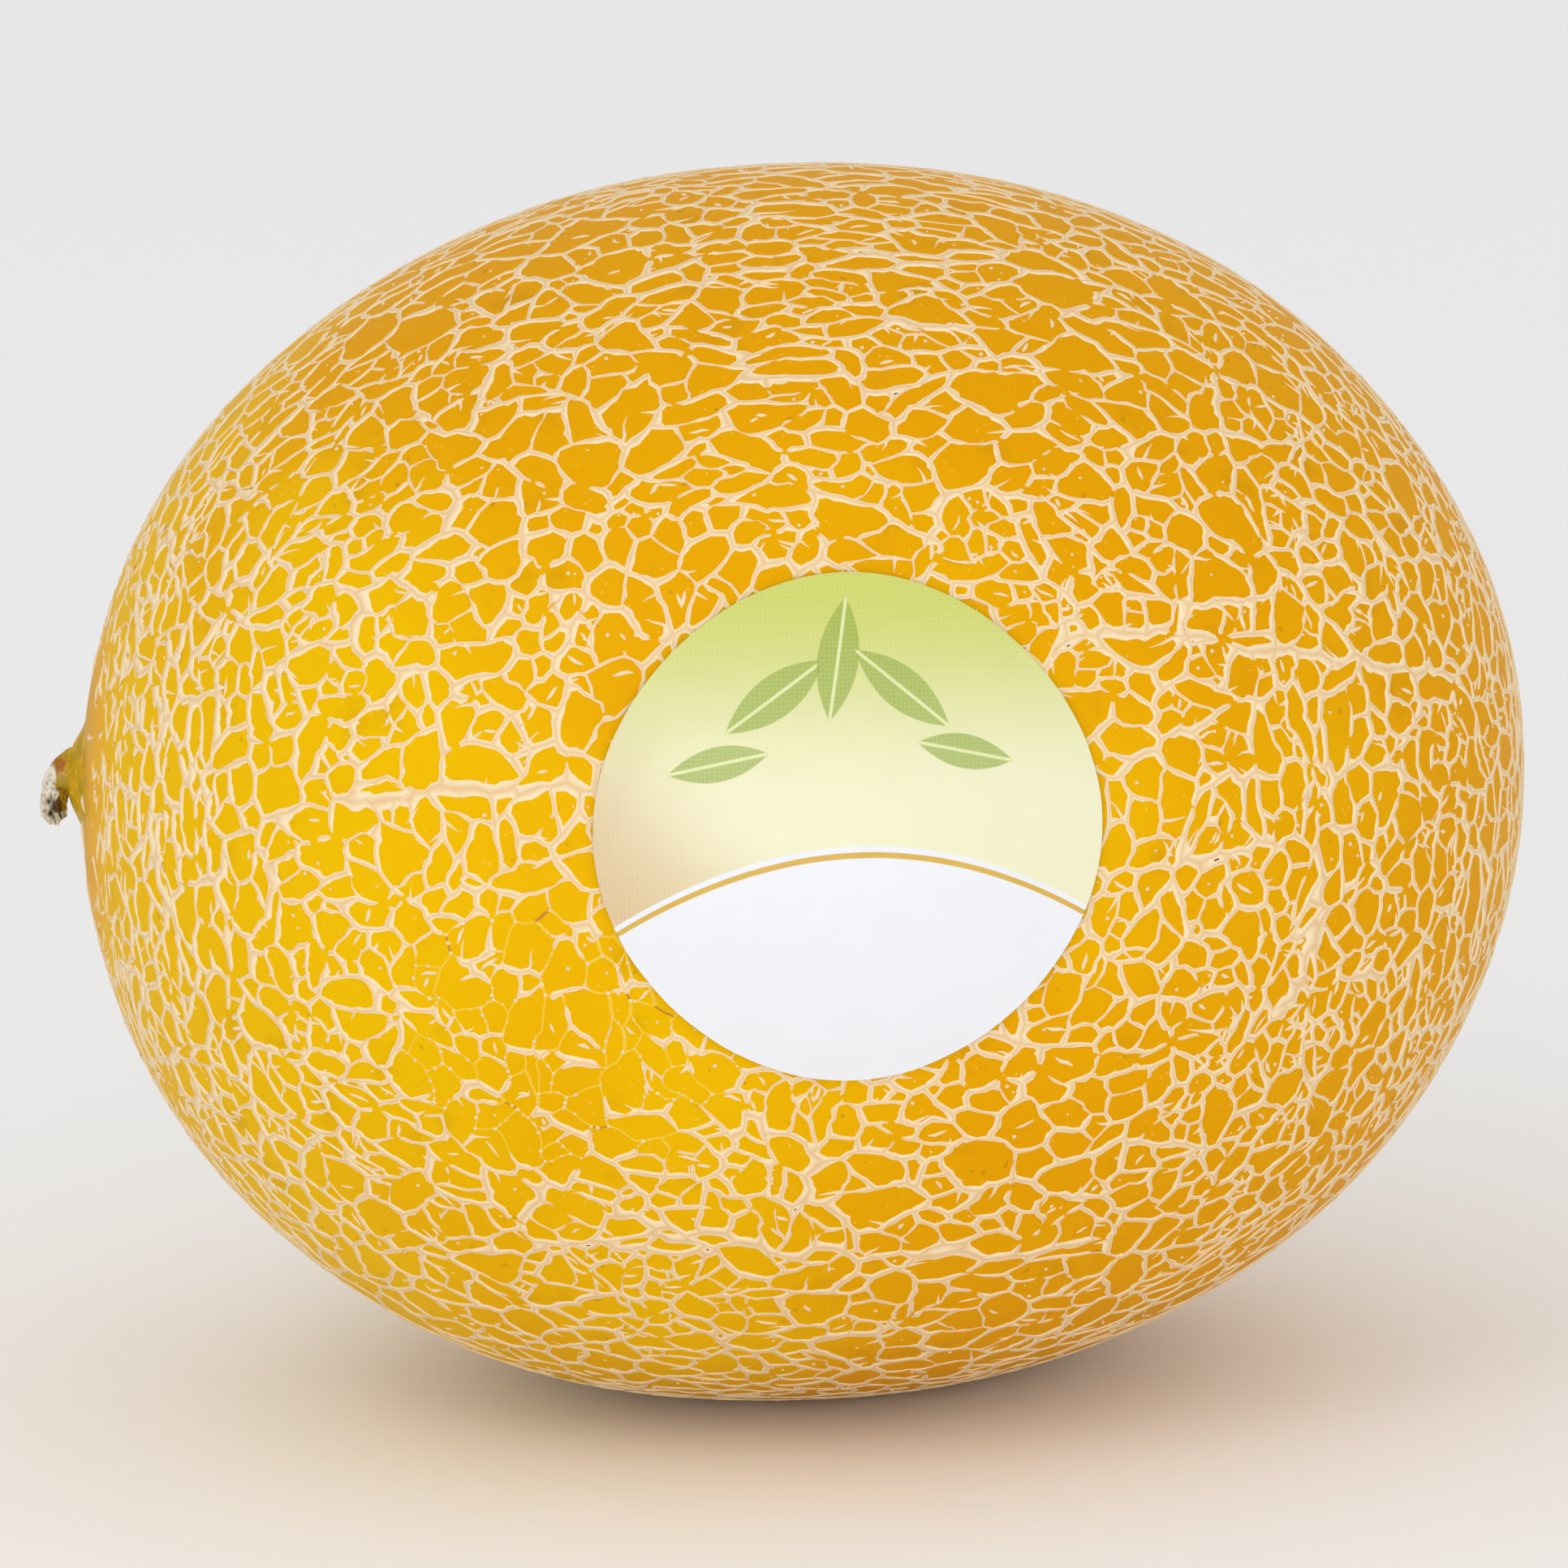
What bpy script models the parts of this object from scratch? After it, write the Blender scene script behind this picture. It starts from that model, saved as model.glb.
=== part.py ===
# A galia melon lying on its side: a yellow fruit with a raised cork net, the dry stub
# of its stalk and a round paper label.
# Metres. +Z is up, the stalk points to -X and the label faces -Y. The origin is the
# middle of the small flat spot that the fruit rests on.

import math
import random

import bmesh
import bpy
from mathutils import Vector

MM = 0.001

# The fruit's body
FRUIT_LENGTH = 150 * MM  # along the stalk's axis, without the stalk
FRUIT_DIAMETER = 128 * MM
STALK_END_FULLNESS = 2.10  # 2 is an ellipse, and more has squarer shoulders
BLOSSOM_END_FULLNESS = 2.04
REST_SPOT_RADIUS = 11 * MM

# The cork net. Its cells are about two and a half times as wide as on the real fruit.
NET_CELLS = 660
NET_SCATTER = 0.42  # how far a cell's middle strays, as a share of the cell spacing
NET_HEIGHT = 0.8 * MM
NET_HALF_WIDTH = 1.15 * MM
NET_WIDEST_SHARE = 0.5  # of the way from a small cell's edge to its middle
NET_SHORTEST_RIDGE = 1.3 * MM
NET_FADE = 6 * MM  # the stretch in which the net thins out towards a bare place
NET_SEED = 11

# The neck, a low cone that carries the stalk
NECK_OFFSET = 2.5 * MM  # above the fruit's axis
NECK_RISE = 0.9 * MM
NECK_TOP_RADIUS = 2.8 * MM
NECK_FOOT_RADIUS = 7.0 * MM
NECK_RINGS = ((1.4 * MM, 5), (3.0 * MM, 9), (4.8 * MM, 12), (7.0 * MM, 14), (10.0 * MM, 16))

# The blossom scar, a shallow round dimple at the far end
SCAR_RADIUS = 3.4 * MM
SCAR_DEPTH = 0.7 * MM
SCAR_RINGS = ((1.2 * MM, 5), (3.4 * MM, 10), (6.4 * MM, 12))

# The stub of the stalk
STALK_RADIUS = 1.6 * MM
STALK_LOBES = 5
STALK_LOBE_DEPTH = 0.16  # share of the radius
STALK_GAP = 0.3 * MM  # between the neck and the stalk
STALK_FLARE = 0.4 * MM  # the straight stretch at its root
STALK_BEND = 1.6 * MM  # the radius of the quarter turn that follows
STALK_BEND_STEPS = 6
STALK_DROP = 4.7 * MM  # how far the hook hangs down
STALK_DROP_STEPS = 4
STALK_LEAN = 0.35  # how far it strays to the label's side for each part of the drop
STALK_WIDTHS = (1.65, 1.25, 1.06, 1.0, 0.97, 0.95, 0.93, 0.92, 0.92, 0.96, 0.92, 0.62)

# The round paper label
LABEL_DIAMETER = 51 * MM
LABEL_THICKNESS = 0.35 * MM
LABEL_GAP = 0.3 * MM  # above the net's ridges
LABEL_OFFSET = 4.8 * MM  # along the fruit, from its middle towards the blossom end
LABEL_ELEVATION = math.radians(7.6)
LABEL_RINGS = 9
LABEL_SIDES = 48

HALF_LENGTH = FRUIT_LENGTH / 2
HALF_WIDTH = FRUIT_DIAMETER / 2
REST_SPOT_DEPTH = HALF_WIDTH - math.sqrt(HALF_WIDTH**2 - REST_SPOT_RADIUS**2)
CENTRE = Vector((0, 0, HALF_WIDTH - REST_SPOT_DEPTH))

# Colours as red, green and blue, with roughness
SKIN_FINISH = ((0.80, 0.46, 0.02), 0.42)
STALK_FINISH = ((0.36, 0.31, 0.18), 0.85)
LABEL_FINISH = ((0.83, 0.88, 0.62), 0.45)


def clear_scene():
    for obj in list(bpy.data.objects):
        bpy.data.objects.remove(obj)


def make_material(name, finish):
    colour, roughness = finish
    material = bpy.data.materials.new(name)
    material.use_nodes = True
    shader = material.node_tree.nodes["Principled BSDF"]
    shader.inputs["Base Color"].default_value = (*colour, 1)
    shader.inputs["Roughness"].default_value = roughness
    shader.inputs["Metallic"].default_value = 0
    return material


def add_object(name, data, material):
    data.materials.append(material)
    obj = bpy.data.objects.new(name, data)
    bpy.context.scene.collection.objects.link(obj)
    return obj


def smooth_step(value):
    t = min(max(value, 0), 1)
    return t * t * (3 - 2 * t)


# How far a direction from the fruit's centre lies from either end, seen along the axis
def distance_from_end(direction, offset):
    return math.hypot(HALF_WIDTH * direction.y, HALF_WIDTH * direction.z - offset)


def end_relief(direction):
    if direction.x < 0:
        distance = distance_from_end(direction, NECK_OFFSET)
        slope = (distance - NECK_TOP_RADIUS) / (NECK_FOOT_RADIUS - NECK_TOP_RADIUS)
        return NECK_RISE * (1 - smooth_step(slope))
    distance = distance_from_end(direction, 0)
    return -SCAR_DEPTH * (1 - smooth_step(distance / SCAR_RADIUS))


# The net thins out towards the smooth neck, the scar and the spot that lay on the ground
def net_share(direction):
    if direction.x < 0:
        end = distance_from_end(direction, NECK_OFFSET) - NECK_FOOT_RADIUS
    else:
        end = distance_from_end(direction, 0) - SCAR_RADIUS
    spot = math.hypot(HALF_LENGTH * direction.x, HALF_WIDTH * direction.y)
    ground = spot - REST_SPOT_RADIUS if direction.z < 0 else HALF_WIDTH
    return smooth_step(min(end, ground) / NET_FADE)


# The point at this height above the skin, in this direction from the fruit's centre.
# Nothing reaches below the rest spot.
def skin_point(direction, height=0):
    reach = min(abs(direction.x), 1)
    fullness = STALK_END_FULLNESS if direction.x < 0 else BLOSSOM_END_FULLNESS
    round_reach = math.sqrt(max(1 - reach**2, 1e-9))
    full_reach = max(1 - reach**fullness, 0) ** (1 / fullness)
    width = HALF_WIDTH * full_reach / round_reach
    point = Vector((HALF_LENGTH * direction.x, width * direction.y, width * direction.z))
    outward = Vector((point.x / HALF_LENGTH**2, point.y / HALF_WIDTH**2, point.z / HALF_WIDTH**2))
    point += outward.normalized() * (height + end_relief(direction)) + CENTRE
    point.z = max(point.z, 0)
    return point


def end_ring(side, radius, count, offset):
    for step in range(count):
        turn = 2 * math.pi * step / count
        y = radius * math.cos(turn) / HALF_WIDTH
        z = (radius * math.sin(turn) + offset) / HALF_WIDTH
        yield Vector((side * math.sqrt(1 - y * y - z * z), y, z))


# The middles of the net's cells: a scattered spiral over the body, and rings at the ends
def cell_middles():
    draw = random.Random(NET_SEED)
    spacing = math.sqrt(4 * math.pi / NET_CELLS)
    golden_angle = math.pi * (3 - math.sqrt(5))
    for number in range(NET_CELLS):
        x = 1 - (2 * number + 1) / NET_CELLS
        turn = golden_angle * number
        around = math.sqrt(1 - x * x)
        middle = Vector((x, around * math.cos(turn), around * math.sin(turn)))
        scatter = Vector([draw.uniform(-1, 1) for _ in range(3)])
        middle = (middle + NET_SCATTER * spacing * scatter).normalized()
        rings, offset = (NECK_RINGS, NECK_OFFSET) if middle.x < 0 else (SCAR_RINGS, 0)
        if distance_from_end(middle, offset) > rings[-1][0] + spacing * HALF_WIDTH / 2:
            yield middle
    for radius, count in NECK_RINGS:
        yield from end_ring(-1, radius, count, NECK_OFFSET)
    for radius, count in SCAR_RINGS:
        yield from end_ring(1, radius, count, 0)


# The cells round those middles, as a ball of polygons with a radius of 1. A hull's face
# normal is the corner that its three cells share.
def make_cells():
    hull = bmesh.new()
    for middle in cell_middles():
        hull.verts.new(middle)
    bmesh.ops.convex_hull(hull, input=hull.verts[:])
    hull.faces.ensure_lookup_table()
    hull.faces.index_update()
    cells = bmesh.new()
    corners = [cells.verts.new(face.normal) for face in hull.faces]
    for vertex in hull.verts:
        middle = vertex.co.normalized()
        east = middle.orthogonal().normalized()
        north = middle.cross(east)

        def bearing(face, east=east, north=north):
            return math.atan2(face.normal.dot(north), face.normal.dot(east))

        around = sorted(vertex.link_faces, key=bearing)
        cells.faces.new([corners[face.index] for face in around])
    hull.free()
    shortest = NET_SHORTEST_RIDGE / HALF_WIDTH
    bmesh.ops.remove_doubles(cells, verts=cells.verts[:], dist=shortest)
    return cells


# Each cell's edge is raised to the top of a ridge, and its floor lies on the skin
def make_fruit():
    cells = make_cells()
    fruit = bmesh.new()
    crest = {}
    for vertex in cells.verts:
        direction = vertex.co.normalized()
        crest[vertex] = fruit.verts.new(skin_point(direction, NET_HEIGHT * net_share(direction)))
    for cell in cells.faces:
        middle = cell.calc_center_median()
        floor = []
        for vertex in cell.verts:
            inward = middle - vertex.co
            share = min(NET_HALF_WIDTH / (HALF_WIDTH * inward.length), NET_WIDEST_SHARE)
            floor.append(fruit.verts.new(skin_point((vertex.co + share * inward).normalized())))
        fruit.faces.new(floor)
        for number, vertex in enumerate(cell.verts):
            after = (number + 1) % len(floor)
            next_crest = crest[cell.verts[after]]
            fruit.faces.new((crest[vertex], next_crest, floor[after], floor[number]))
    cells.free()
    bmesh.ops.triangulate(fruit, faces=fruit.faces[:])
    bmesh.ops.recalc_face_normals(fruit, faces=fruit.faces[:])
    mesh = bpy.data.meshes.new("netted_fruit")
    fruit.to_mesh(mesh)
    fruit.free()
    return add_object("netted_fruit", mesh, make_material("netted_skin", SKIN_FINISH))


# The lobed outline of the stalk, which its centre line carries
def make_stalk_outline():
    outline = bpy.data.curves.new("stalk_outline", "CURVE")
    spline = outline.splines.new("POLY")
    sides = 4 * STALK_LOBES
    spline.points.add(sides - 1)
    for number, point in enumerate(spline.points):
        turn = -2 * math.pi * number / sides
        groove = STALK_LOBE_DEPTH * (1 - math.cos(STALK_LOBES * turn)) / 2
        radius = STALK_RADIUS * (1 - groove)
        point.co = (radius * math.cos(turn), radius * math.sin(turn), 0, 1)
    spline.use_cyclic_u = True
    guide = bpy.data.objects.new("stalk_outline", outline)
    guide.hide_render = True
    guide.display_type = "WIRE"
    bpy.context.scene.collection.objects.link(guide)
    return guide


# How far out and how far down the stub's centre line goes: out of the neck along the
# axis, round a quarter turn and straight down
def stalk_steps():
    yield 0, 0
    for step in range(STALK_BEND_STEPS + 1):
        turn = math.pi / 2 * step / STALK_BEND_STEPS
        yield STALK_FLARE + STALK_BEND * math.sin(turn), STALK_BEND * (1 - math.cos(turn))
    for step in range(1, STALK_DROP_STEPS + 1):
        fall = (STALK_DROP - STALK_BEND) * step / STALK_DROP_STEPS
        yield STALK_FLARE + STALK_BEND, STALK_BEND + fall


# The stub flares at its root and ends in a swollen, broken tip
def make_stalk():
    line = bpy.data.curves.new("stalk", "CURVE")
    line.dimensions = "3D"
    line.bevel_mode = "OBJECT"
    line.bevel_object = make_stalk_outline()
    line.use_fill_caps = True
    start = skin_point(Vector((-1, 0, NECK_OFFSET / HALF_WIDTH)).normalized())
    start.x -= STALK_GAP
    spline = line.splines.new("POLY")
    spline.points.add(len(STALK_WIDTHS) - 1)
    for point, width, (out, down) in zip(spline.points, STALK_WIDTHS, stalk_steps()):
        point.co = (start.x - out, start.y - STALK_LEAN * down, start.z - down, 1)
        point.radius = width
    return add_object("stalk", line, make_material("dry_stalk", STALK_FINISH))


# A round sheet on top of the net's ridges, thickened outwards
def make_label():
    around = math.sqrt(1 - (LABEL_OFFSET / HALF_LENGTH) ** 2)
    level = math.cos(LABEL_ELEVATION)
    rise = math.sin(LABEL_ELEVATION)
    middle = Vector((LABEL_OFFSET / HALF_LENGTH, -around * level, around * rise))
    along = Vector((1, 0, 0))
    up = Vector((0, rise, level))
    height = NET_HEIGHT + LABEL_GAP
    label = bmesh.new()

    def label_point(radius, turn):
        step_x = radius * math.cos(turn) / HALF_LENGTH
        step_up = radius * math.sin(turn) / HALF_WIDTH
        direction = middle + math.tan(step_x) * along + math.tan(step_up) * up
        return label.verts.new(skin_point(direction.normalized(), height))

    previous = None
    for ring in range(1, LABEL_RINGS + 1):
        radius = LABEL_DIAMETER / 2 * ring / LABEL_RINGS
        turns = [2 * math.pi * side / LABEL_SIDES for side in range(LABEL_SIDES)]
        points = [label_point(radius, turn) for turn in turns]
        if previous is None:
            label.faces.new(points)
        else:
            for side in range(LABEL_SIDES):
                after = (side + 1) % LABEL_SIDES
                label.faces.new((previous[side], points[side], points[after], previous[after]))
        previous = points
    bmesh.ops.recalc_face_normals(label, faces=label.faces[:])
    if sum((face.normal.dot(middle) for face in label.faces)) < 0:
        bmesh.ops.reverse_faces(label, faces=label.faces[:])
    mesh = bpy.data.meshes.new("round_label")
    label.to_mesh(mesh)
    label.free()
    mesh.shade_smooth()
    obj = add_object("round_label", mesh, make_material("label_paper", LABEL_FINISH))
    thicken = obj.modifiers.new("thickness", "SOLIDIFY")
    thicken.thickness = LABEL_THICKNESS
    thicken.offset = 1
    return obj


clear_scene()
make_fruit()
make_stalk()
make_label()
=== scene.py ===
# Galia melon: the finish of its netted skin, its dry stalk stub and its round paper label
import math
import bpy
import bmesh
import numpy as np
from mathutils import Matrix, Vector


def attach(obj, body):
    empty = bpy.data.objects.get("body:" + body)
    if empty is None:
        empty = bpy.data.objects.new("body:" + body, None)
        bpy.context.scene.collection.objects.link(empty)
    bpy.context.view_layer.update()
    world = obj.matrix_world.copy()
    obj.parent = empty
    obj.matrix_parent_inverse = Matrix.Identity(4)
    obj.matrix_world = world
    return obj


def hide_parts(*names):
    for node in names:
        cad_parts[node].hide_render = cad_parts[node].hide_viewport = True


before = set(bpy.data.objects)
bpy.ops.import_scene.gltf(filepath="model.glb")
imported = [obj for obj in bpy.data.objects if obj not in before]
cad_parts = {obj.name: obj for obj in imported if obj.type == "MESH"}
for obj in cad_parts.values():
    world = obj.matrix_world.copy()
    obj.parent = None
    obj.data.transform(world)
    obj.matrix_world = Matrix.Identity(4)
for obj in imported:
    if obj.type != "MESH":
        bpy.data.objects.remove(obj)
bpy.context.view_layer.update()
print("frame loaded:", sorted(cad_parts))

# The body's form, in metres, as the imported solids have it
fruit = {
    "halfLength": 0.0746,
    "halfWidth": 0.064,
    "stalkFullness": 2.10,  # 2 is an ellipse, more has squarer shoulders
    "blossomFullness": 2.04,
    "restSpotRadius": 0.011,
    "neckOffset": 0.0034,
    "neckRise": 0.0014,
    "neckTopRadius": 0.0017,
    "neckFootRadius": 0.0062,
    "scarRadius": 0.0034,
    "scarDepth": 0.0007,
    "swellWidth": 0.050,  # of the gentle swells that keep the body from being quite even
    "swellHeight": 0.00015,
    "swellSeed": 3,
    "leanStalk": 0.017,  # the body leans: its top lies this share further from the stalk's end
    "leanBlossom": 0.007,
}
fruitSizes = np.array((fruit["halfLength"], fruit["halfWidth"], fruit["halfWidth"]))
fruitCentre = np.array((0, 0, math.sqrt(fruit["halfWidth"] ** 2 - fruit["restSpotRadius"] ** 2)))

# The camera, which also says where on the fruit a thing in the picture lies
view = {
    "elevation": math.radians(12),
    "roll": math.radians(-2.0),
    "distance": 1.2,
    "lens": 266,
    "sensor": 36,
    "aside": -0.0020,  # the fruit lies a little right of the middle
    "below": -0.0002,
}


def unit(vectors):
    return vectors / np.linalg.norm(vectors, axis=-1, keepdims=True)


def smoothStep(value):
    t = np.clip(value, 0, 1)
    return t * t * (3 - 2 * t)


# From 0 to 1 where a value goes from start over this much more, and the other way round
def rising(value, start, over):
    return smoothStep((value - start) / over)


def fading(value, start, over):
    return 1 - rising(value, start, over)


# Smooth noise with a spread of 1, made of many plane waves
def waveNoise(points, wavelength, seed, waves=28):
    draw = np.random.default_rng(seed)
    ways = unit(draw.normal(size=(waves, 3)))
    lengths = wavelength * draw.uniform(0.7, 1.6, waves)
    starts = draw.uniform(0, 2 * math.pi, waves)
    phases = points @ (ways / lengths[:, None]).T * 2 * math.pi + starts
    return np.sin(phases).sum(axis=1) * math.sqrt(2 / waves)


def waveShift(points, wavelength, amount, seed):
    shifts = [waveNoise(points, wavelength, seed + number) for number in range(3)]
    return amount * np.stack(shifts, axis=1)


# Points on the skin in these directions from the fruit's centre, and the way out of it there
def skinPoints(directions):
    reach = np.minimum(np.abs(directions[:, 0]), 1)
    fullness = np.where(directions[:, 0] < 0, fruit["stalkFullness"], fruit["blossomFullness"])
    roundReach = np.sqrt(np.maximum(1 - reach**2, 1e-9))
    width = fruit["halfWidth"] * np.maximum(1 - reach**fullness, 0) ** (1 / fullness) / roundReach
    return directions * np.stack((np.full_like(width, fruit["halfLength"]), width, width), axis=1)


def skinOutward(directions):
    return unit(skinPoints(directions) / fruitSizes**2)


# How far the skin lies from an axis along the fruit, and 1 on the other side of the fruit
def distanceFromAxis(directions, side, offset=0):
    places = skinPoints(directions)
    return np.where(side * directions[:, 0] > 0, np.hypot(places[:, 1], places[:, 2] - offset), 1)


def distanceFromNeck(directions):
    return distanceFromAxis(directions, -1, fruit["neckOffset"])


def distanceFromScar(directions):
    return distanceFromAxis(directions, 1)


def distanceFromRestSpot(directions):
    places = skinPoints(directions)
    return np.where(directions[:, 2] < 0, np.hypot(places[:, 0], places[:, 1]), 1)


# The low neck at one end and the shallow scar at the other
def endRelief(directions):
    slope = fruit["neckFootRadius"] - fruit["neckTopRadius"]
    neck = fruit["neckRise"] * fading(distanceFromNeck(directions), fruit["neckTopRadius"], slope)
    return neck - fruit["scarDepth"] * fading(distanceFromScar(directions), 0, fruit["scarRadius"])


def onSkin(directions, heights=0):
    points = skinPoints(directions)
    swells = fruit["swellHeight"] * waveNoise(points, fruit["swellWidth"], fruit["swellSeed"])
    lift = (heights + endRelief(directions) + swells)[:, None]
    points = points + skinOutward(directions) * lift
    lean = (fruit["leanStalk"] + fruit["leanBlossom"]) / 2
    lean = lean + (fruit["leanBlossom"] - fruit["leanStalk"]) / 2 * points[:, 0] / fruit["halfLength"]
    points[:, 0] += lean * points[:, 2]
    points += fruitCentre
    points[:, 2] = np.maximum(points[:, 2], 0)
    return points


# The direction from the fruit's centre of a place that the camera sees this far across and
# up from the middle of the fruit
def seenAt(across, up):
    roll = -view["roll"]
    x = across * math.cos(roll) + up * math.sin(roll)
    rise = up * math.cos(roll) - across * math.sin(roll)
    around = math.sqrt(max(1 - (x / fruit["halfLength"]) ** 2, 0))
    tilt = view["elevation"]
    high = rise / fruit["halfWidth"]
    near = math.sqrt(max(around**2 - high**2, 0))
    y = high * math.sin(tilt) - near * math.cos(tilt)
    z = high * math.cos(tilt) + near * math.sin(tilt)
    return unit(np.array((x / fruit["halfLength"], y, z)))


# The cork net: cracks that broke the young skin into cells, the wide ones first
net = {
    "seed": 7,
    "firstCells": 900,
    "scatter": 0.55,  # share of the spacing
    "shortestRidge": 0.0006,
    "cellSize": 0.00375,  # a cell as large as this still breaks in two
    "sizeSpread": 0.22,
    "breakTurn": math.radians(21),
    "breakShift": 0.12,
    "step": 0.00086,  # between points along a ridge
    "widths": (0.00128, 0.00074, 0.00060, 0.00048, 0.00038),  # ribs, then each later break
    "widthSpread": 0.24,
    "slimmer": (0.22, 0.12),  # share by which ridges are narrower high and low, and at the blossom end
    "height": 0.00014,
    "sunk": 0.00010,  # how far a ridge that fades out goes under the skin
    "settle": 0.28,
    "settleRounds": 2,
    "bends": ((0.0070, 0.00030), (0.0028, 0.00017), (0.0015, 0.00008)),  # wavelength, amount
    "rounding": 0.000045,  # lower gives cells with sharper corners
    "ragged": 0.050,
    "samples": 18,  # how finely the way from a cell's side to its heart is searched
    "filled": 0.00008,  # cells with less room than this between ridges are corked over
    "sharpFrom": math.radians(75),  # faces that turn by more than this meet in a sharp edge
}

# Long broad ridges that run lengthwise: where they start and end in the camera's view
frontRibs = (
    ((-0.0555, -0.0416), (-0.012, -0.0438)),
    ((-0.020, -0.0425), (0.0345, -0.0455)),
    ((0.0252, 0.0147), (0.0680, 0.0088)),
    ((-0.0430, -0.0017), (-0.0215, -0.0008)),
    ((-0.020, 0.0480), (0.030, 0.0500)),
    ((0.0531, -0.0112), (0.0460, -0.0253)),
)
# The same on the far side, as seen from straight behind
backRibs = (
    ((-0.050, 0.020), (0.010, 0.026)),
    ((-0.015, -0.012), (0.055, -0.016)),
    ((-0.040, -0.040), (0.020, -0.034)),
)
# A thin place in the net and one with wider cells, with middles and sizes in the camera's view
thinPlace = {"across": -0.0235, "up": -0.0250, "halfWide": 0.0175, "halfHigh": 0.0150}
widePlace = {"across": -0.0430, "up": 0.0030, "radius": 0.0230}


# Above 1 the cells are larger: in the wide place, and high and low on the fruit
def cellScale(directions):
    x, _, z = directions.T
    places = skinPoints(directions)
    wide = skinPoints(seenAt(widePlace["across"], widePlace["up"])[None])[0]
    roomy = np.exp(-(((places - wide) ** 2).sum(axis=1)) / widePlace["radius"] ** 2)
    blossomEnd = rising(x, 0.25, 0.5)
    highOrLow = rising(np.abs(z), 0.35, 0.4)
    uneven = waveNoise(places, 0.030, net["seed"] + 40)
    return np.exp(0.03 * roomy - 0.04 * blossomEnd + 0.18 * highOrLow + 0.07 * uneven)


# Above 0 the cells are longer lengthwise, below 0 they are longer round the fruit
def cellStretch(directions):
    x, _, z = directions.T
    middle = fading(np.abs(x), 0.45, 0.3)
    high = rising(z, 0.35, 0.4) * middle
    low = rising(-z, 0.45, 0.4) * middle
    ends = 0.28 * rising(x, 0.42, 0.4) + 0.40 * rising(-x, 0.60, 0.35)
    uneven = waveNoise(skinPoints(directions), 0.026, net["seed"] + 41)
    return 0.25 * high + 0.20 * low - ends + 0.22 * uneven


def firstCells(draw):
    count = net["firstCells"]
    number = np.arange(count) + 0.5
    x = 1 - 2 * number / count
    turn = number * math.pi * (3 - math.sqrt(5))
    around = np.sqrt(1 - x * x)
    spiral = np.stack((x, around * np.cos(turn), around * np.sin(turn)), axis=1)
    scatter = net["scatter"] * math.sqrt(4 * math.pi / count)
    hull = bmesh.new()
    for middle in unit(spiral + scatter * draw.uniform(-1, 1, (count, 3))):
        hull.verts.new(middle)
    bmesh.ops.convex_hull(hull, input=hull.verts[:])
    hull.faces.index_update()
    cells = bmesh.new()
    corners = [cells.verts.new(face.normal) for face in hull.faces]
    for vertex in hull.verts:
        ring = [vertex.link_loops[0]]
        while len(ring) < len(vertex.link_loops):
            ring.append(ring[-1].link_loop_prev.link_loop_radial_next)
        cells.faces.new([corners[loop.face.index] for loop in ring])
    hull.free()
    bmesh.ops.remove_doubles(cells, verts=cells.verts[:], dist=net["shortestRidge"] / fruit["halfWidth"])
    cells.verts.index_update()
    points = [unit(np.array(vertex.co)) for vertex in cells.verts]
    rings = [[vertex.index for vertex in face.verts] for face in cells.faces]
    cells.free()
    return points, rings


# The growing network: corners, where an edge was broken, and which crack an edge belongs to
points, rings = firstCells(np.random.default_rng(net["seed"]))
broken = {}
crackOf = {}
cracks = []  # level and luck of each crack
breakDraw = np.random.default_rng(net["seed"] + 1)


def edgeKey(a, b):
    return (a, b) if a < b else (b, a)


def newCrack(level):
    cracks.append((level, breakDraw.normal(), breakDraw.random()))
    return len(cracks) - 1


def fullEdge(a, b):
    middle = broken.get(edgeKey(a, b))
    return [a] if middle is None else fullEdge(a, middle) + fullEdge(middle, b)


def fullRing(ring):
    full = []
    for number, corner in enumerate(ring):
        full += fullEdge(corner, ring[(number + 1) % len(ring)])
    return full


def cornerOn(a, b, share):
    least = net["shortestRidge"] / (np.linalg.norm(points[a] - points[b]) * fruit["halfWidth"])
    if least > 0.5:
        return a if share < 0.5 else b
    share = min(max(share, least), 1 - least)
    points.append(unit(points[a] + share * (points[b] - points[a])))
    corner = len(points) - 1
    crack = crackOf.get(edgeKey(a, b))
    broken[edgeKey(a, b)] = corner
    crackOf[edgeKey(a, corner)] = crack
    crackOf[edgeKey(corner, b)] = crack
    return corner


# Breaks a cell in two where side, given at each corner, goes through nought
def breakCell(ring, side, crack):
    above = side > 0
    crossed = [n for n in range(len(ring)) if above[n] != above[(n + 1) % len(ring)]]
    if len(crossed) != 2:
        return None
    ends = []
    for n in crossed:
        after = (n + 1) % len(ring)
        ends.append(cornerOn(ring[n], ring[after], side[n] / (side[n] - side[after])))
    full = fullRing(ring)
    first, last = sorted(full.index(end) for end in ends)
    halves = (full[first : last + 1], full[last:] + full[: first + 1])
    if min(len(half) for half in halves) < 3:
        return None
    crackOf[edgeKey(*ends)] = crack
    return halves


def breakAlongRibs(rings):
    ribs = [(seenAt(*start), seenAt(*end)) for start, end in frontRibs]
    ribs += [(seenAt(*start) * (-1, -1, 1), seenAt(*end) * (-1, -1, 1)) for start, end in backRibs]
    for first, last in ribs:
        middle = unit(first + last)
        reach = first @ middle
        normal = unit(np.cross(first, last))
        crack = newCrack(0)
        kept = []
        for ring in rings:
            full = fullRing(ring)
            corners = np.array([points[corner] for corner in full])
            near = unit(corners.mean(axis=0)) @ middle > reach
            halves = breakCell(full, corners @ normal, crack) if near else None
            kept += halves if halves else [ring]
        rings = kept
    return rings


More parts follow.
